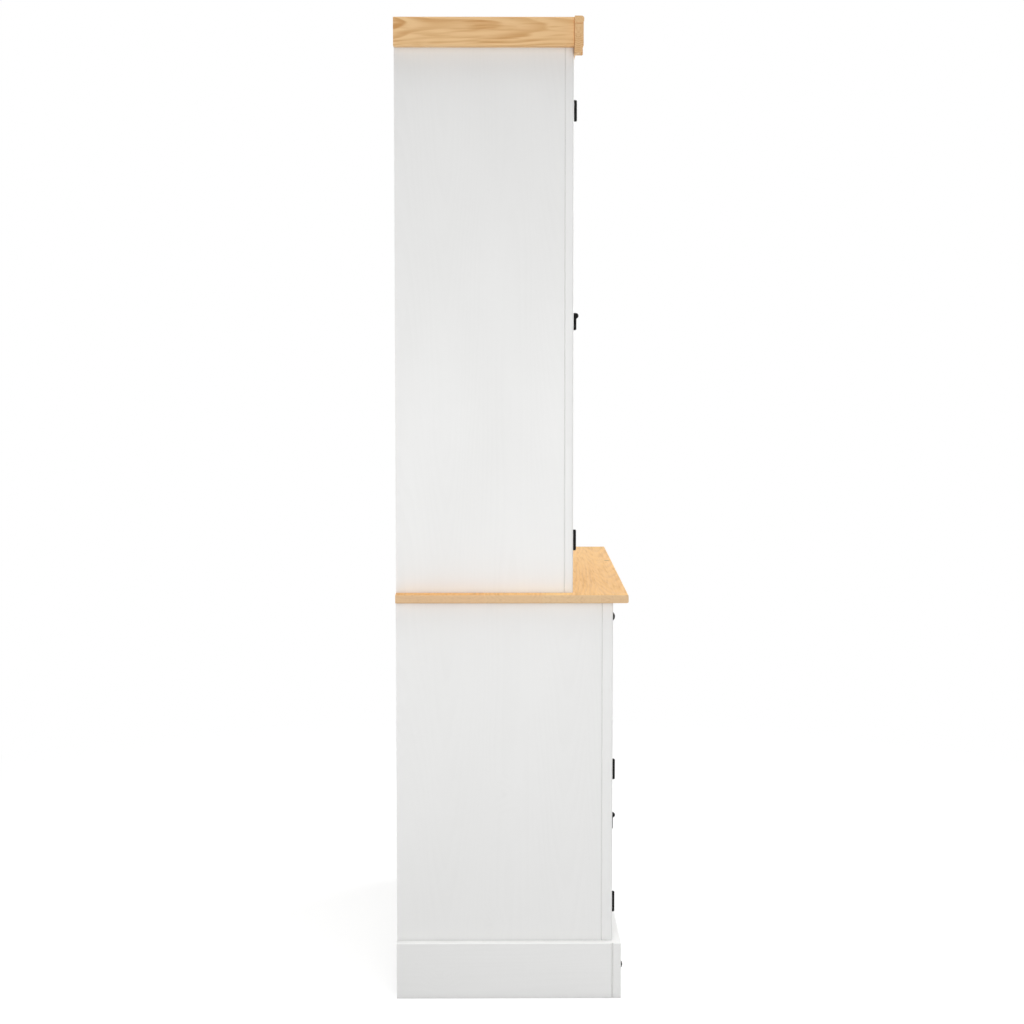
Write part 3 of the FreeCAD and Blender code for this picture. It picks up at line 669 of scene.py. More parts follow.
class PaintedCornerShade(Effect):
    """Painted shade that darkens joints, inner corners, undersides and faces near the floor, found by ambient
    occlusion.
    """

    title = "Painted corner shade"
    takes = (("Place", "Vector"), ("Reach", "Float"))
    gives = ("Mask",)

    samples: ClassVar[int] = 4
    closed: ClassVar[Ramp] = Ramp(0.10, 0.80)
    cloud: ClassVar[Mottle] = Mottle(60.0, 3.0)
    cloud_show: ClassVar[Ramp] = Ramp(0.3, 0.7, 0.7, 1.0)

    def wire(self, wiring: Wiring, given: Sockets) -> Sockets:
        """Build the painted shade inside its group.

        Args:
            wiring: Wiring of the group.
            given: The group's inputs by name.

        Returns:
            The socket for each of the group's outputs, by name.
        """
        # Painted shade: the more sky that nearby surfaces close off within the reach, the darker the colour.
        open_sky = wiring.add("AmbientOcclusion", samples=self.samples)
        wiring.feed(open_sky.inputs["Distance"], given["Reach"])
        closed = wiring.span(wiring.math("SUBTRACT", 1.0, open_sky.outputs["AO"]), self.closed)
        cloud = wiring.span(wiring.noise(given["Place"], self.cloud), self.cloud_show)
        return {"Mask": wiring.math("MULTIPLY", closed, cloud)}


class EndGrain(Effect):
    """The faces of a board that are sawn across the grain."""

    title = "End grain"
    takes = (("Place", "Vector"), ("Normal", "Vector"))
    gives = ("Mask",)

    turned: ClassVar[Ramp] = Ramp(0.45, 0.9)
    pores: ClassVar[Mottle] = Mottle(900.0, 2.0)
    pore_show: ClassVar[Ramp] = Ramp(0.3, 0.7, 0.75, 1.0)

    def wire(self, wiring: Wiring, given: Sockets) -> Sockets:
        """Build the mask inside its group.

        Args:
            wiring: Wiring of the group.
            given: The group's inputs by name.

        Returns:
            The socket for each of the group's outputs, by name.
        """
        along = wiring.math("ABSOLUTE", wiring.parts(given["Normal"])["Z"])
        pores = wiring.span(wiring.noise(given["Place"], self.pores), self.pore_show)
        return {"Mask": wiring.math("MULTIPLY", wiring.span(along, self.turned), pores)}


@dataclass(frozen=True)
class Boards:
    """The boards of a face: their width, the gap and wander of their rings, their knots and their draw."""

    width: float
    ring_gap: float
    wander: float
    knot_share: float
    seed: float

    def figure(self, wiring: Wiring, spot: Spot) -> Sockets:
        """The boards' figure in a material.

        Args:
            wiring: Wiring of the material.
            spot: Place on the board and the way that its surface looks.

        Returns:
            The figure's outputs by name.
        """
        return TimberFigure().place(wiring, place=spot.place, board_width=self.width, ring_gap=self.ring_gap,
                                    wander=self.wander, knot_share=self.knot_share, seed=self.seed)


@dataclass(frozen=True)
class Wear:
    """Rubbed edges: their colour, how far in they reach, their breaks to a metre and how much they show."""

    colour: Colour
    reach: float
    breaks: float
    show: float

    def rub(self, wiring: Wiring, spot: Spot, colour: Feed) -> Socket:
        """A finish's colour with its edges rubbed.

        Args:
            wiring: Wiring of the material.
            spot: Place on the piece and the way that its surface looks.
            colour: Colour of the finish.

        Returns:
            The output socket.
        """
        edge = WornEdge().place(wiring, place=spot.place, reach=self.reach, breaks=self.breaks)
        return wiring.laid(colour, self.colour, edge["Mask"], self.show)


@dataclass(frozen=True)
class Finish:
    """A finish that is given to pieces, with one material for each way of the grain."""

    title: str

    def material(self, grain: Grain = Grain.STILE) -> bpy.types.Material:
        """The finish's material, built on its first use.

        Args:
            grain: The way that the grain runs.

        Returns:
            The material.
        """
        name = f"{self.title}_{grain.name.lower()}"
        found = bpy.data.materials.get(name)
        if found is not None:
            return found
        material = bpy.data.materials.new(name)
        wiring = Wiring.fresh(material)
        shader = wiring.add("BsdfPrincipled")
        leave = wiring.add("OutputMaterial")
        wiring.feed(leave.inputs["Surface"], shader.outputs["BSDF"])
        coordinates = wiring.add("TexCoord")
        place = wiring.along_board(coordinates.outputs["Object"], grain)
        normal = wiring.along_board(coordinates.outputs["Normal"], grain)
        self.dress(wiring, shader, Spot(place, normal))
        return material

    def dress(self, wiring: Wiring, shader: bpy.types.Node, spot: Spot) -> None:
        """Feed the shader of one material.

        Args:
            wiring: Wiring of the material.
            shader: The material's main shader.
            spot: Place on the piece and the way that its surface looks.
        """
        raise NotImplementedError


@dataclass(frozen=True)
class PaintFinish(Finish):
    """Satin paint over pine, through which the grain just shows, with painted shade laid into its joints and
    corners.
    """

    paint: Colour
    shade: Colour
    # Colour of the painted shade in joints, inner corners and under overhangs.
    painted_shade: Colour
    wear: Wear
    boards: Boards
    brush_fineness: float = 380.0
    grain_show: float = 0.06
    cloud: Ramp = Ramp(0.3, 0.7, 0.0, 0.08)
    # Strength and reach of the painted shade.
    painted_shade_show: float = 0.5
    painted_shade_reach: float = 10.0 * MM
    streak_gloss: float = 0.5
    patch_gloss: float = 0.5
    gloss: Ramp = Ramp(0.3, 0.7, 0.36, 0.52)
    streak_height: float = 0.55
    ring_height: float = 0.45
    relief_depth: float = 0.045 * MM
    reflectance: float = 0.4

    def dress(self, wiring: Wiring, shader: bpy.types.Node, spot: Spot) -> None:
        """Feed the shader of one material.

        Args:
            wiring: Wiring of the material.
            shader: The material's main shader.
            spot: Place on the board and the way that its surface looks.
        """
        figure = self.boards.figure(wiring, spot)
        brush = BrushMarks().place(wiring, place=spot.place, fineness=self.brush_fineness)
        # Painted shade: an occlusion mask darkens the paint in joints, corners, under the worktop and next to
        # the floor.
        painted_shade = PaintedCornerShade().place(wiring, place=spot.place, reach=self.painted_shade_reach)
        marks = wiring.math("MULTIPLY", wiring.math("ADD", figure["Ring"], figure["Knot"]), self.grain_show)
        darker = wiring.math("ADD", marks, wiring.span(brush["Patch"], self.cloud))
        colour = self.wear.rub(wiring, spot, wiring.blend(darker, self.paint, self.shade))
        colour = wiring.laid(colour, self.painted_shade, painted_shade["Mask"], self.painted_shade_show)
        wiring.feed(shader.inputs["Base Color"], colour)
        gloss = wiring.weighed(brush["Streak"], self.streak_gloss, brush["Patch"], self.patch_gloss)
        wiring.feed(shader.inputs["Roughness"], wiring.span(gloss, self.gloss))
        height = wiring.weighed(brush["Streak"], self.streak_height, figure["Ring"], self.ring_height)
        wiring.feed(shader.inputs["Normal"], wiring.relief(height, self.relief_depth))
        wiring.feed(shader.inputs["Specular IOR Level"], self.reflectance)


@dataclass(frozen=True)
class PineFinish(Finish):
    """Pine boards, bare or waxed."""

    early: Colour
    early_warm: Colour
    late: Colour
    knot: Colour
    end: Colour
    wear: Wear
    boards: Boards
    brush_fineness: float = 520.0
    ring_show: float = 0.6
    fleck_show: float = 0.4
    knot_show: float = 0.85
    end_show: float = 0.45
    cloud: Ramp = Ramp(0.3, 0.7, 0.0, 0.16)
    fibre: Ramp = Ramp(0.52, 0.78, 0.0, 0.22)
    ring_gloss: float = 0.18
    gloss: Ramp = Ramp(0.25, 0.7, 0.46, 0.64)
    wax: Ramp = Ramp(0.25, 0.75, 0.015, 0.03)
    wax_roughness: float = 0.35
    reflectance: float = 0.12
    ring_height: float = 0.5
    fibre_height: float = 0.5
    relief_depth: float = 0.12 * MM

    def dress(self, wiring: Wiring, shader: bpy.types.Node, spot: Spot) -> None:
        """Feed the shader of one material.

        Args:
            wiring: Wiring of the material.
            shader: The material's main shader.
            spot: Place on the board and the way that its surface looks.
        """
        figure = self.boards.figure(wiring, spot)
        brush = BrushMarks().place(wiring, place=spot.place, fineness=self.brush_fineness)
        sawn = EndGrain().place(wiring, place=spot.place, normal=spot.normal)
        ground = wiring.blend(figure["Tone"], self.early, self.early_warm)
        darker = wiring.plus(wiring.span(brush["Patch"], self.cloud), figure["Ring"], self.ring_show)
        darker = wiring.plus(darker, figure["Fleck"], self.fleck_show)
        darker = wiring.math("ADD", darker, wiring.span(figure["Fibre"], self.fibre))
        colour = wiring.blend(darker, ground, self.late)
        colour = wiring.laid(colour, self.knot, figure["Knot"], self.knot_show)
        colour = wiring.laid(colour, self.end, sawn["Mask"], self.end_show)
        wiring.feed(shader.inputs["Base Color"], self.wear.rub(wiring, spot, colour))
        gloss = wiring.plus(brush["Streak"], figure["Ring"], -self.ring_gloss)
        wiring.feed(shader.inputs["Roughness"], wiring.span(gloss, self.gloss))
        wiring.feed(shader.inputs["Coat Weight"], wiring.span(brush["Patch"], self.wax))
        wiring.feed(shader.inputs["Coat Roughness"], self.wax_roughness)
        wiring.feed(shader.inputs["Specular IOR Level"], self.reflectance)
        height = wiring.weighed(figure["Ring"], self.ring_height, figure["Fibre"], self.fibre_height)
        wiring.feed(shader.inputs["Normal"], wiring.relief(height, self.relief_depth))


@dataclass(frozen=True)
class PlywoodFinish(Finish):
    """Thin plywood under a wash of paint, with the broad figure of peeled veneer."""

    wash: Colour
    figure_colour: Colour
    wear: Wear
    boards: Boards
    brush_fineness: float = 300.0
    ring_show: float = 0.42
    knot_show: float = 0.8
    streak: Ramp = Ramp(0.45, 0.75, 0.0, 0.3)
    gloss: Ramp = Ramp(0.3, 0.7, 0.6, 0.75)
    relief_depth: float = 0.12 * MM
    reflectance: float = 0.3

    def dress(self, wiring: Wiring, shader: bpy.types.Node, spot: Spot) -> None:
        """Feed the shader of one material.

        Args:
            wiring: Wiring of the material.
            shader: The material's main shader.
            spot: Place on the board and the way that its surface looks.
        """
        figure = self.boards.figure(wiring, spot)
        brush = BrushMarks().place(wiring, place=spot.place, fineness=self.brush_fineness)
        marks = wiring.weighed(figure["Ring"], self.ring_show, figure["Knot"], self.knot_show)
        darker = wiring.math("ADD", marks, wiring.span(brush["Streak"], self.streak))
        colour = wiring.blend(darker, self.wash, self.figure_colour)
        wiring.feed(shader.inputs["Base Color"], self.wear.rub(wiring, spot, colour))
        wiring.feed(shader.inputs["Roughness"], wiring.span(brush["Patch"], self.gloss))
        wiring.feed(shader.inputs["Normal"], wiring.relief(brush["Streak"], self.relief_depth))
        wiring.feed(shader.inputs["Specular IOR Level"], self.reflectance)


@dataclass(frozen=True)
class IronFinish(Finish):
    """Black waxed iron, hammered all over and rubbed a little on its edges."""

    black: Colour
    dust: Colour
    wear: Wear
    dust_show: float = 0.25
    dents_per_metre: float = 330.0
    scale: Mottle = Mottle(900.0, 3.0)
    gloss: Ramp = Ramp(0.3, 0.7, 0.42, 0.62)
    reflectance: float = 0.15
    dent_height: float = 0.8
    scale_height: float = 0.2
    relief_depth: float = 0.22 * MM

    def dress(self, wiring: Wiring, shader: bpy.types.Node, spot: Spot) -> None:
        """Feed the shader of one material.

        Args:
            wiring: Wiring of the material.
            shader: The material's main shader.
            spot: Place on the piece and the way that its surface looks.
        """
        dust = SettledDust().place(wiring, place=spot.place)
        dents = wiring.add("TexVoronoi", feature="SMOOTH_F1")
        wiring.feed(dents.inputs["Vector"], spot.place)
        wiring.feed(dents.inputs["Scale"], self.dents_per_metre)
        scale = wiring.noise(spot.place, self.scale)
        colour = wiring.laid(self.wear.rub(wiring, spot, self.black), self.dust, dust["Mask"], self.dust_show)
        wiring.feed(shader.inputs["Base Color"], colour)
        wiring.feed(shader.inputs["Roughness"], wiring.span(scale, self.gloss))
        wiring.feed(shader.inputs["Specular IOR Level"], self.reflectance)
        height = wiring.weighed(dents.outputs["Distance"], self.dent_height, scale, self.scale_height)
        wiring.feed(shader.inputs["Normal"], wiring.relief(height, self.relief_depth))


@dataclass(frozen=True)
class GlassFinish(Finish):
    """Clear sheet glass with a trace of wiping marks, which lets the light of lamps through."""

    body: Colour
    shadow: Colour
    refraction: float = 1.46
    wipes: Mottle = Mottle(24.0, 4.0, 0.35)
    haze: Ramp = Ramp(0.5, 0.75, 0.0, 0.03)

    def dress(self, wiring: Wiring, shader: bpy.types.Node, spot: Spot) -> None:
        """Feed the shader of one material.

        Args:
            wiring: Wiring of the material.
            shader: The material's main shader.
            spot: Place on the pane and the way that its surface looks.
        """
        wiring.feed(shader.inputs["Base Color"], self.body)
        wiring.feed(shader.inputs["Metallic"], 0.0)
        wiring.feed(shader.inputs["Transmission Weight"], 1.0)
        wiring.feed(shader.inputs["IOR"], self.refraction)
        wiring.feed(shader.inputs["Roughness"], wiring.span(wiring.noise(spot.place, self.wipes), self.haze))
        clear = wiring.add("BsdfTransparent")
        wiring.feed(clear.inputs["Color"], self.shadow)
        path = wiring.add("LightPath")
        mix = wiring.feed_all(wiring.add("MixShader"), path.outputs["Is Shadow Ray"], shader.outputs["BSDF"],
                              clear.outputs["BSDF"])
        leave = next(node for node in wiring.tree.nodes if node.type == "OUTPUT_MATERIAL")
        wiring.feed(leave.inputs["Surface"], mix)


@dataclass(frozen=True)
class PlasticFinish(Finish):
    """Matt moulded plastic with a fine sparked grain."""

    body: Colour
    wear: Wear
    spark: Mottle = Mottle(2600.0, 2.0)
    gloss: Ramp = Ramp(0.3, 0.7, 0.5, 0.62)
    relief_depth: float = 0.05 * MM

    def dress(self, wiring: Wiring, shader: bpy.types.Node, spot: Spot) -> None:
        """Feed the shader of one material.

        Args:
            wiring: Wiring of the material.
            shader: The material's main shader.
            spot: Place on the piece and the way that its surface looks.
        """
        spark = wiring.noise(spot.place, self.spark)
        wiring.feed(shader.inputs["Base Color"], self.wear.rub(wiring, spot, self.body))
        wiring.feed(shader.inputs["Roughness"], wiring.span(spark, self.gloss))
        wiring.feed(shader.inputs["Normal"], wiring.relief(spark, self.relief_depth))


@dataclass(frozen=True)
class Palette:
    """All the finishes of the cupboard."""

    paint: PaintFinish = PaintFinish(
        "white_paint",
        paint=tint(237, 237, 236),
        shade=tint(216, 216, 214),
        # Painted shade colour for joints, inner corners and undersides.
        painted_shade=tint(158, 157, 155),
        wear=Wear(tint(224, 205, 176), reach=1.6 * MM, breaks=70.0, show=0.16),
        boards=Boards(width=98.0 * MM, ring_gap=6.2 * MM, wander=30.0 * MM, knot_share=0.25, seed=3.4),
    )
    pine: PineFinish = PineFinish(
        "waxed_pine",
        early=tint(246, 202, 139),
        early_warm=tint(241, 185, 119),
        late=tint(208, 150, 88),
        knot=tint(128, 82, 48),
        end=tint(209, 188, 161),
        wear=Wear(tint(246, 210, 156), reach=2.0 * MM, breaks=55.0, show=0.35),
        boards=Boards(width=108.0 * MM, ring_gap=6.4 * MM, wander=28.0 * MM, knot_share=0.30, seed=0.52),
        ring_show=0.32,
        fleck_show=0.36,
        end_show=0.66,
    )
    trim: PineFinish = PineFinish(
        "trim_pine",
        early=tint(246, 209, 157),
        early_warm=tint(243, 199, 146),
        late=tint(210, 157, 99),
        knot=tint(128, 82, 48),
        end=tint(214, 172, 126),
        wear=Wear(tint(244, 210, 160), reach=2.0 * MM, breaks=55.0, show=0.35),
        boards=Boards(width=400.0 * MM, ring_gap=4.2 * MM, wander=45.0 * MM, knot_share=0.30, seed=0.05),
        ring_show=0.85,
    )
    bare_pine: PineFinish = PineFinish(
        "plain_pine",
        early=tint(236, 212, 172),
        early_warm=tint(231, 203, 162),
        late=tint(204, 163, 116),
        knot=tint(132, 90, 56),
        end=tint(206, 176, 134),
        wear=Wear(tint(240, 220, 184), reach=2.0 * MM, breaks=55.0, show=0.35),
        boards=Boards(width=120.0 * MM, ring_gap=4.8 * MM, wander=45.0 * MM, knot_share=0.30, seed=1.3),
        gloss=Ramp(0.25, 0.7, 0.55, 0.7),
        wax=Ramp(0.25, 0.75, 0.01, 0.02),
    )
    ply: PlywoodFinish = PlywoodFinish(
        "plywood",
        wash=tint(231, 228, 221),
        figure_colour=tint(212, 202, 184),
        wear=Wear(tint(206, 184, 148), reach=1.2 * MM, breaks=40.0, show=0.5),
        boards=Boards(width=620.0 * MM, ring_gap=16.0 * MM, wander=120.0 * MM, knot_share=0.12, seed=0.6),
    )
    iron: IronFinish = IronFinish(
        "black_iron",
        black=tint(15, 14, 14),
        dust=tint(84, 80, 75),
        wear=Wear(tint(54, 50, 47), reach=0.6 * MM, breaks=260.0, show=0.55),
    )
    glass: GlassFinish = GlassFinish("glass", body=tint(250, 252, 251), shadow=tint(251, 252, 251))
    plastic: PlasticFinish = PlasticFinish(
        "catch_plastic",
        body=tint(136, 96, 66),
        wear=Wear(tint(168, 130, 98), reach=0.8 * MM, breaks=160.0, show=0.4),
    )


def dress_members(node: str, materials: Sequence[bpy.types.Material],
                  choose: Callable[[Vector], int]) -> None:
    """Give the members of one CAD node their own materials.

    Args:
        node: Name of the node.
        materials: Materials to choose from.
        choose: Number of the material for a face with a given middle.
    """
    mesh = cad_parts[node].data
    mesh.materials.clear()
    for material in materials:
        mesh.materials.append(material)
    for polygon in mesh.polygons:
        polygon.material_index = choose(polygon.center)
    LOG.info("dressed %s in %s", node, ", ".join(material.name for material in materials))


def dress_node(node: str, material: bpy.types.Material) -> None:
    """Give a whole CAD node one material.

    Args:
        node: Name of the node.
        material: Its material.
    """
    dress_members(node, (material,), lambda middle: 0)


@dataclass(frozen=True)
class FixingHead:
    """The head of a small fixing, as a dome on a short rim, with a cross recess where it has one."""

    radius: float
    rise: float
    rim: float
    sink: float
    recess_width: float = 0.0
    recess_length: float = 0.0
    recess_depth: float = 0.0
    segments: int = 28
    rings: int = 5

    upright: ClassVar[float] = 0.2
    cut_tolerance: ClassVar[float] = 1e-7

    def shape(self) -> bmesh.types.BMesh:
        """One head that looks along +Z, with its seat at the origin.

        Returns:
            The head's mesh.
        """
        bm = bmesh.new()
        profile = [(self.radius, -self.sink), (self.radius, self.rim)]
        for step in range(1, self.rings):
            turn = 0.5 * math.pi * step / self.rings
            profile.append((self.radius * math.cos(turn), self.rim + (self.rise - self.rim) * math.sin(turn)))
        loops = []
        for radius, height in profile:
            loop = []
            for number in range(self.segments):
                turn = 2.0 * math.pi * number / self.segments
                loop.append(bm.verts.new((radius * math.cos(turn), radius * math.sin(turn), height)))
            loops.append(loop)
        for low, high in zip(loops, loops[1:]):
            for number in range(self.segments):
                after = (number + 1) % self.segments
                bm.faces.new((low[number], low[after], high[after], high[number]))
        crown = bm.verts.new((0.0, 0.0, self.rise))
        for number in range(self.segments):
            bm.faces.new((loops[-1][number], loops[-1][(number + 1) % self.segments], crown))
        bm.faces.new(list(reversed(loops[0])))
        if self.recess_depth > 0.0:
            self.cut_cross(bm)
        for face in bm.faces:
            face.smooth = abs(face.normal.z) > self.upright
        return bm

    def cut_cross(self, bm: bmesh.types.BMesh) -> None:
        """Press a cross recess into the dome.

        Args:
            bm: The head's mesh.
        """
        half_width = self.recess_width / 2.0
        half_length = self.recess_length / 2.0
        for axis in (Vector((1.0, 0.0, 0.0)), Vector((0.0, 1.0, 0.0))):
            for reach in (-half_length, -half_width, half_width, half_length):
                parts = bm.verts[:] + bm.edges[:] + bm.faces[:]
                bmesh.ops.bisect_plane(bm, geom=parts, plane_co=axis * reach, plane_no=axis,
                                       dist=self.cut_tolerance)

        def inside(face: bmesh.types.BMFace) -> bool:
            """Whether a face lies in the cross."""
            middle = face.calc_center_median()
            short, long = sorted((abs(middle.x), abs(middle.y)))
            return middle.z > self.rim and short < half_width and long < half_length

        cross = [face for face in bm.faces if inside(face)]
        made = bmesh.ops.extrude_face_region(bm, geom=cross)
        for vert in (part for part in made["geom"] if isinstance(part, bmesh.types.BMVert)):
            vert.co.z -= self.recess_depth
        bmesh.ops.delete(bm, geom=[face for face in cross if face.is_valid], context="FACES")
        bm.normal_update()

    def piece(self, name: str, places: Iterable[Matrix], body: str, finish: Finish, slot: str) -> None:
        """Add one piece with a head at each place.

        Args:
            name: Name of the piece.
            places: Seat of each head, whose own +Z looks out of the surface.
            body: CAD body that the piece rides on.
            finish: The heads' finish.
            slot: The record's material slot for the finish; not used.
        """
        whole = bmesh.new()
        mesh = bpy.data.meshes.new(name)
        for place in places:
            head = self.shape()
            bmesh.ops.transform(head, matrix=place, verts=head.verts[:])
            head.to_mesh(mesh)
            head.free()
            whole.from_mesh(mesh)
        whole.to_mesh(mesh)
        whole.free()
        mesh.materials.append(finish.material())
        made = bpy.data.objects.new(name, mesh)
        bpy.context.scene.collection.objects.link(made)
        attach(made, body)
        LOG.info("built %s on %s", name, body)


def seat(facing: Facing, x: float, y: float, z: float, turn: float = 0.0) -> Matrix:
    """The seat of a fixing on an upright face.

    Args:
        facing: The way that the face looks.
        x: Place from side to side.
        y: Place of the face.
        z: Height.
        turn: Turn of the fixing about its own axis, in degrees.

    Returns:
        The seat, whose own +Z looks out of the face.
    """
    tip = Matrix.Rotation(math.radians(facing.value), 4, "X")
    return Matrix.Translation((x, y, z)) @ tip @ Matrix.Rotation(math.radians(turn), 4, "Z")


@dataclass(frozen=True)
class Assembly:
    """A sub-assembly of the cupboard, which is dressed and then given its small fixings."""

    palette: Palette

    def dress(self) -> None:
        """Give each piece of the sub-assembly its finish."""
        raise NotImplementedError

    def build(self) -> None:
        """Add the sub-assembly's fixings, where it has any."""


@dataclass(frozen=True)
class Carcass(Assembly):
    """The fixed boards and ironwork of the base and the hutch."""

    pin_edge: float = 4.0 * MM
    pin_spacing: float = 115.0 * MM
    pin: FixingHead = FixingHead(radius=2.2 * MM, rise=0.9 * MM, rim=0.2 * MM, sink=0.3 * MM, rings=4,
                                 segments=16)

    painted: ClassVar[dict[Grain, Sequence[str]]] = {
        Grain.SIDE: ("base_side_left", "base_side_right", "hutch_side_left", "hutch_side_right"),
        Grain.STILE: ("base_stile_left", "base_stile_right", "base_centre_stile", "hutch_stile_left",
                      "hutch_stile_right", "hutch_centre_stile"),
        Grain.SHELF: ("base_floor_board", "base_shelf", "hutch_top_board", "hutch_floor_board",
                      "hutch_shelves"),
        Grain.RAIL: ("base_rails", "hutch_rails", "plinth_front"),
        Grain.END: ("plinth_left", "plinth_right"),
        Grain.BATTEN: ("shelf_battens",),
    }
    backs: ClassVar[Sequence[str]] = ("base_back_panel", "hutch_back_panel")
    ironwork: ClassVar[Sequence[str]] = ("decorative_studs", "hinge_frame_leaves", "hinge_pins")

    def dress(self) -> None:
        """Give each board its finish, with the grain along its length, and the ironwork its own."""
        for grain, boards in self.painted.items():
            for board in boards:
                dress_node(board, self.palette.paint.material(grain))
        for panel in self.backs:
            dress_node(panel, self.palette.ply.material(Grain.STILE))
        dress_node("worktop_fixing_rail", self.palette.bare_pine.material(Grain.RAIL))
        dress_node("drawer_runners", self.palette.bare_pine.material(Grain.BATTEN))
        dress_node("door_catches", self.palette.plastic.material())
        for piece in self.ironwork:
            dress_node(piece, self.palette.iron.material())

    def build(self) -> None:
        """Add the pins that hold each back panel, evenly spaced along its edges."""
        for panel in self.backs:
            low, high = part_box(panel)
            columns = self.pin_row(low.x, high.x)
            rows = self.pin_row(low.z, high.z)
            spots = [(x, z) for x in columns for z in (rows[0], rows[-1])]
            spots += [(x, z) for z in rows[1:-1] for x in (columns[0], columns[-1])]
            places = [seat(Facing.BACK, x, high.y, z) for x, z in spots]
            self.pin.piece(f"{panel}_pins", places, "cabinet", self.palette.iron, IRON_SLOT)

    def pin_row(self, low: float, high: float) -> list[float]:
        """Places of the pins along one edge of a panel.

        Args:
            low: Lower end of the edge.
            high: Upper end of the edge.

        Returns:
            The places, from a pin near the lower end to a pin near the upper end.
        """
        first = low + self.pin_edge
        length = high - self.pin_edge - first
        gaps = round(length / self.pin_spacing)
        return [first + length * step / gaps for step in range(gaps + 1)]


@dataclass(frozen=True)
class PineTrim(Assembly):
    """The worktop and the cornice, in waxed pine."""

    def dress(self) -> None:
        """Give each pine board its finish, with the grain along its length."""
        dress_node("worktop", self.palette.pine.material(Grain.SHELF))
        for board in ("cornice_fascia", "cornice_cap"):
            dress_node(board, self.palette.trim.material(Grain.RAIL))
        for board in ("cornice_side_left", "cornice_side_right"):
            dress_node(board, self.palette.trim.material(Grain.END))


@dataclass(frozen=True)
class DropPull(Assembly):
    """A drop pull: a backplate with two pins, and the drop that hangs before it."""

    owner: str
    plate_thickness: float
    pin_spacing: float = 34.0 * MM
    pin: FixingHead = FixingHead(radius=1.9 * MM, rise=1.1 * MM, rim=0.25 * MM, sink=0.3 * MM, rings=4,
                                 segments=16)

    def dress(self) -> None:
        """Give the plate and the drop their finish."""
        dress_node(f"{self.owner}_pull_mount", self.palette.iron.material())
        dress_node(f"{self.owner}_pull_drop", self.palette.iron.material())

    def build(self) -> None:
        """Add the two pins that hold the backplate."""
        low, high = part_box(f"{self.owner}_pull_mount")
        middle = (low + high) / 2.0
        face = high.y - self.plate_thickness
        heights = [middle.z + end * self.pin_spacing / 2.0 for end in (-1, 1)]
        places = [seat(Facing.FRONT, middle.x, face, height) for height in heights]
        self.pin.piece(f"{self.owner}_pull_pins", places, self.owner, self.palette.iron, IRON_SLOT)


@dataclass(frozen=True)
class Door(Assembly):
    """A hinged door with its frame, infill, hinge screws and pull."""

    level: Level
    side: Side
    groove_lap: float = 7.8 * MM
    barrel_radius: float = 3.25 * MM
    leaf_height: float = 36.0 * MM
    leaf_thickness: float = 1.5 * MM
    screw_reach: float = 12.2 * MM
    screw_spacing: float = 20.0 * MM
    screw_turns: Sequence[float] = (18.0, 64.0, 37.0, 81.0)
    screw: FixingHead = FixingHead(radius=2.7 * MM, rise=0.9 * MM, rim=0.15 * MM, sink=0.3 * MM,
                                   recess_width=0.75 * MM, recess_length=3.2 * MM, recess_depth=0.7 * MM)

    infills: ClassVar[dict[Level, str]] = {Level.BASE: "panel", Level.HUTCH: "pane"}
    pull_plates: ClassVar[dict[Level, float]] = {Level.BASE: 5.0 * MM, Level.HUTCH: 2.0 * MM}

    @property
    def name(self) -> str:
        """The door's body, which begins the names of its pieces."""
        return f"{self.level.value}_{self.side.name.lower()}_door"

    @property
    def pull(self) -> DropPull:
        """The door's pull."""
        return DropPull(self.palette, self.name, self.pull_plates[self.level])

    def dress(self) -> None:
        """Give the frame, the infill and the ironwork their finishes."""
        infill = f"{self.name}_{self.infills[self.level]}"
        low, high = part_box(infill)
        rail_low = low.x + self.groove_lap
        rail_high = high.x - self.groove_lap

        def member(middle: Vector) -> int:
            """1 for a face of a rail or bar, 0 for a face of a stile."""
            return 1 if rail_low < middle.x < rail_high else 0

        paint = self.palette.paint
        dress_members(f"{self.name}_frame", (paint.material(Grain.STILE), paint.material(Grain.RAIL)), member)
        infill_finish = self.palette.glass if self.level is Level.HUTCH else paint
        dress_node(infill, infill_finish.material(Grain.STILE))
        dress_node(f"{self.name}_hinge_leaves", self.palette.iron.material())
        self.pull.dress()

    def build(self) -> None:
        """Add the screws of both leaves of each hinge, and the pins of the pull."""
        low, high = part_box(f"{self.name}_hinge_leaves")
        sign = self.side.value
        axis = (high.x - self.barrel_radius) if self.side is Side.RIGHT else (low.x + self.barrel_radius)
        face = high.y - self.leaf_thickness
        middles = (low.z + self.leaf_height / 2.0, high.z - self.leaf_height / 2.0)
        rows = [middle + end * self.screw_spacing / 2.0 for middle in middles for end in (-1, 1)]
        for title, body, way in ((f"{self.name}_hinge_screws", self.name, -sign),
                                 (f"{self.name}_frame_screws", "cabinet", sign)):
            x = axis + way * self.screw_reach
            places = [seat(Facing.FRONT, x, face, z, turn) for z, turn in zip(rows, self.screw_turns)]
            self.screw.piece(title, places, body, self.palette.iron, IRON_SLOT)
        self.pull.build()


@dataclass(frozen=True)
class Drawer(Assembly):
    """The drawer with its front, box and pull."""

    side_reach: float = 320.0 * MM
    pull_plate: float = 2.0 * MM

    @property
    def pull(self) -> DropPull:
        """The drawer's pull."""
        return DropPull(self.palette, "drawer", self.pull_plate)

    def dress(self) -> None:
        """Give the front, the box, the bottom and the pull their finishes."""
        dress_node("drawer_front", self.palette.paint.material(Grain.RAIL))
        dress_node("drawer_bottom", self.palette.ply.material(Grain.SHELF))

        def member(middle: Vector) -> int:
            """1 for a face of the back, 0 for a face of a side."""
            return 1 if abs(middle.x) < self.side_reach else 0

        pine = self.palette.bare_pine
        dress_members("drawer_box", (pine.material(Grain.END), pine.material(Grain.RAIL)), member)
        self.pull.dress()

    def build(self) -> None:
        """Add the pins of the pull."""
        self.pull.build()


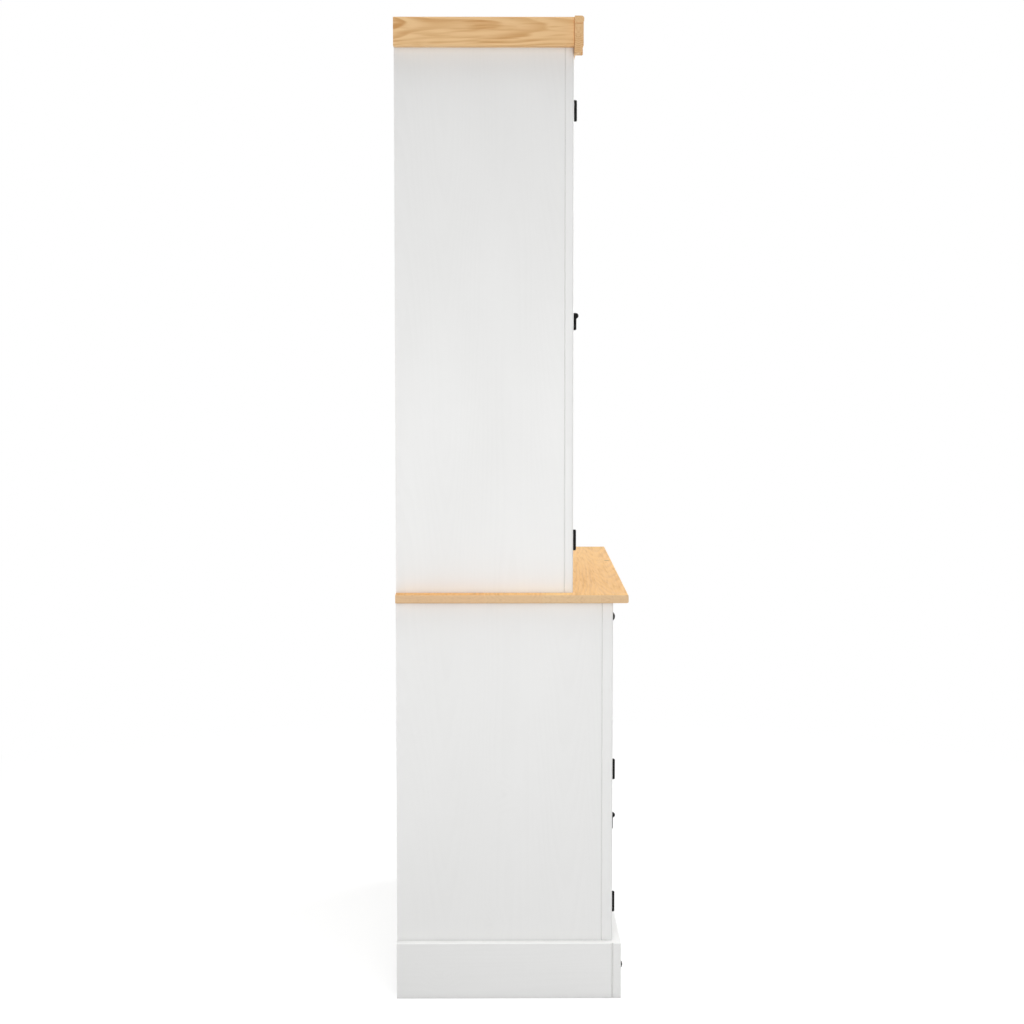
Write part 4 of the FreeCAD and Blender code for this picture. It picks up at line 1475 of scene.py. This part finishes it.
@dataclass(frozen=True)
class SoftBox:
    """A large soft lamp that looks at a point."""

    title: str
    place: Sequence[float]
    aim: Sequence[float]
    width: float
    height: float
    power: float

    def build(self) -> None:
        """Add the lamp."""
        lamp = bpy.data.lights.new(self.title, "AREA")
        lamp.shape = "RECTANGLE"
        lamp.size = self.width
        lamp.size_y = self.height
        lamp.energy = self.power
        made = bpy.data.objects.new(self.title, lamp)
        bpy.context.scene.collection.objects.link(made)
        made.location = self.place
        way = Vector(self.aim) - Vector(self.place)
        made.rotation_euler = way.to_track_quat("-Z", "Y").to_euler()
        made.visible_camera = False
        made.visible_transmission = False
        LOG.info("built lamp %s", self.title)


@dataclass(frozen=True)
class Studio:
    """A plain pale floor, soft lamps, a white surround and the camera."""

    floor_half: float = 14.0
    floor_squares: int = 8
    floor_drop: float = 0.4 * MM
    floor_bounce: float = 0.66
    floor_shade: float = 0.31
    floor_glow: float = 0.77
    shadow_fade: Ramp = Ramp(0.9, 2.2)
    surround: float = 0.22
    unscattered: float = 0.5
    camera_place: Sequence[float] = (-3.8356, 0.0226, 1.2333)
    camera_pitch: float = 3.92
    camera_yaw: float = 0.378
    camera_lens: float = 66.07
    camera_sensor: float = 36.0
    camera_rise: float = -0.045
    lamps: Sequence[SoftBox] = (
        SoftBox("left_soft_box", (-2.7, -0.5, 1.75), (0.0, 0.0, 0.92), width=1.6, height=1.4, power=14.5),
        SoftBox("left_low_box", (-1.9, 0.1, 0.82), (-0.4, 0.0, 0.82), width=0.9, height=0.7, power=6.4),
        SoftBox("front_soft_box", (2.0, -2.9, 2.1), (0.0, 0.0, 0.9), width=2.2, height=2.0, power=74.0),
        SoftBox("right_soft_box", (3.2, 0.9, 1.5), (0.0, 0.0, 0.9), width=1.8, height=1.6, power=18.0),
        SoftBox("back_soft_box", (-0.9, 3.4, 1.7), (0.0, 0.0, 0.9), width=2.0, height=1.8, power=34.0),
        SoftBox("top_soft_box", (-2.0, -1.2, 11.0), (-0.2, 0.0, 0.5), width=6.5, height=6.5, power=546.0),
    )

    def build(self) -> None:
        """Build the whole studio."""
        self.build_floor()
        self.build_surround()
        for lamp in self.lamps:
            lamp.build()
        self.build_camera()
        bpy.context.scene.view_settings.view_transform = "Standard"

    def build_floor(self) -> None:
        """A flat floor that is white to the eye, keeps the shadow and throws light back."""
        bm = bmesh.new()
        bmesh.ops.create_grid(bm, x_segments=self.floor_squares, y_segments=self.floor_squares,
                              size=self.floor_half)
        bmesh.ops.translate(bm, vec=(0.0, 0.0, -self.floor_drop), verts=bm.verts[:])
        mesh = bpy.data.meshes.new("studio_floor")
        bm.to_mesh(mesh)
        bm.free()
        mesh.materials.append(self.floor_material())
        floor = bpy.data.objects.new("studio_floor", mesh)
        bpy.context.scene.collection.objects.link(floor)
        LOG.info("built studio_floor")

    def floor_material(self) -> bpy.types.Material:
        """The floor's material: plain white to the eye, with the shadow kept only near the cupboard.

        Returns:
            The material.
        """
        material = bpy.data.materials.new("studio_floor")
        wiring = Wiring.fresh(material)
        bounce = wiring.add("BsdfDiffuse")
        wiring.feed(bounce.inputs["Color"], (self.floor_bounce,) * 3)
        shade = wiring.add("BsdfDiffuse")
        wiring.feed(shade.inputs["Color"], (self.floor_shade,) * 3)
        glow = wiring.add("Emission")
        wiring.feed(glow.inputs["Strength"], self.floor_glow)
        white = wiring.add("Emission")
        near = wiring.feed_all(wiring.add("AddShader"), shade.outputs[0], glow.outputs[0])
        distance = wiring.add("VectorMath", operation="LENGTH")
        wiring.feed(distance.inputs[0], wiring.add("TexCoord").outputs["Object"])
        fade = wiring.span(distance.outputs["Value"], self.shadow_fade)
        seen = wiring.feed_all(wiring.add("MixShader"), fade, near, white.outputs[0])
        whole = wiring.feed_all(wiring.add("MixShader"), self.eye_rays(wiring), bounce.outputs[0], seen)
        leave = wiring.add("OutputMaterial")
        wiring.feed(leave.inputs["Surface"], whole)
        return material

    def eye_rays(self, wiring: Wiring) -> Socket:
        """1 for what the eye sees, straight, mirrored or through glass, and 0 for light on matt surfaces.

        Args:
            wiring: Wiring of a material or the world.

        Returns:
            The output socket.
        """
        path = wiring.add("LightPath")
        mirrored = wiring.math("MAXIMUM", path.outputs["Is Glossy Ray"], path.outputs["Is Transmission Ray"])
        seen = wiring.math("MAXIMUM", path.outputs["Is Camera Ray"], mirrored)
        direct = wiring.math("LESS_THAN", path.outputs["Diffuse Depth"], self.unscattered)
        return wiring.math("MULTIPLY", seen, direct)

    def build_surround(self) -> None:
        """A white surround to the eye, and an even soft light on the cupboard."""
        world = bpy.data.worlds.new("studio_surround")
        wiring = Wiring.fresh(world)
        light = wiring.add("Background")
        wiring.feed(light.inputs["Color"], (1.0, 1.0, 1.0))
        wiring.feed(light.inputs["Strength"], self.surround)
        white = wiring.add("Background")
        wiring.feed(white.inputs["Color"], (1.0, 1.0, 1.0))
        mix = wiring.feed_all(wiring.add("MixShader"), self.eye_rays(wiring), light.outputs[0],
                              white.outputs[0])
        leave = wiring.add("OutputWorld")
        wiring.feed(leave.inputs["Surface"], mix)
        bpy.context.scene.world = world
        LOG.info("built studio_surround")

    def build_camera(self) -> None:
        """The camera at the left side, level with the hutch."""
        pitch = math.radians(self.camera_pitch)
        yaw = math.radians(self.camera_yaw)
        level = Vector((math.cos(yaw), -math.sin(yaw), 0.0))
        forward = level * math.cos(pitch) - Vector((0.0, 0.0, 1.0)) * math.sin(pitch)
        right = Vector((-math.sin(yaw), -math.cos(yaw), 0.0))
        up = right.cross(forward)
        lens = bpy.data.cameras.new("camera")
        lens.sensor_width = self.camera_sensor
        lens.lens = self.camera_lens
        lens.shift_y = self.camera_rise
        camera = bpy.data.objects.new("camera", lens)
        bpy.context.scene.collection.objects.link(camera)
        turn = Matrix((right, up, -forward)).transposed()
        camera.matrix_world = Matrix.Translation(self.camera_place) @ turn.to_4x4()
        bpy.context.scene.camera = camera
        LOG.info("built camera")


def main() -> None:
    """Dress the cupboard, add its small fixings and set it in the studio."""
    logging.basicConfig(level=logging.INFO, format="%(name)s: %(message)s")
    palette = Palette()
    doors = [Door(palette, level, side) for level in Level for side in Side]
    for assembly in (Carcass(palette), PineTrim(palette), *doors, Drawer(palette)):
        assembly.dress()
        assembly.build()
    Studio().build()


if __name__ == "__main__":
    main()
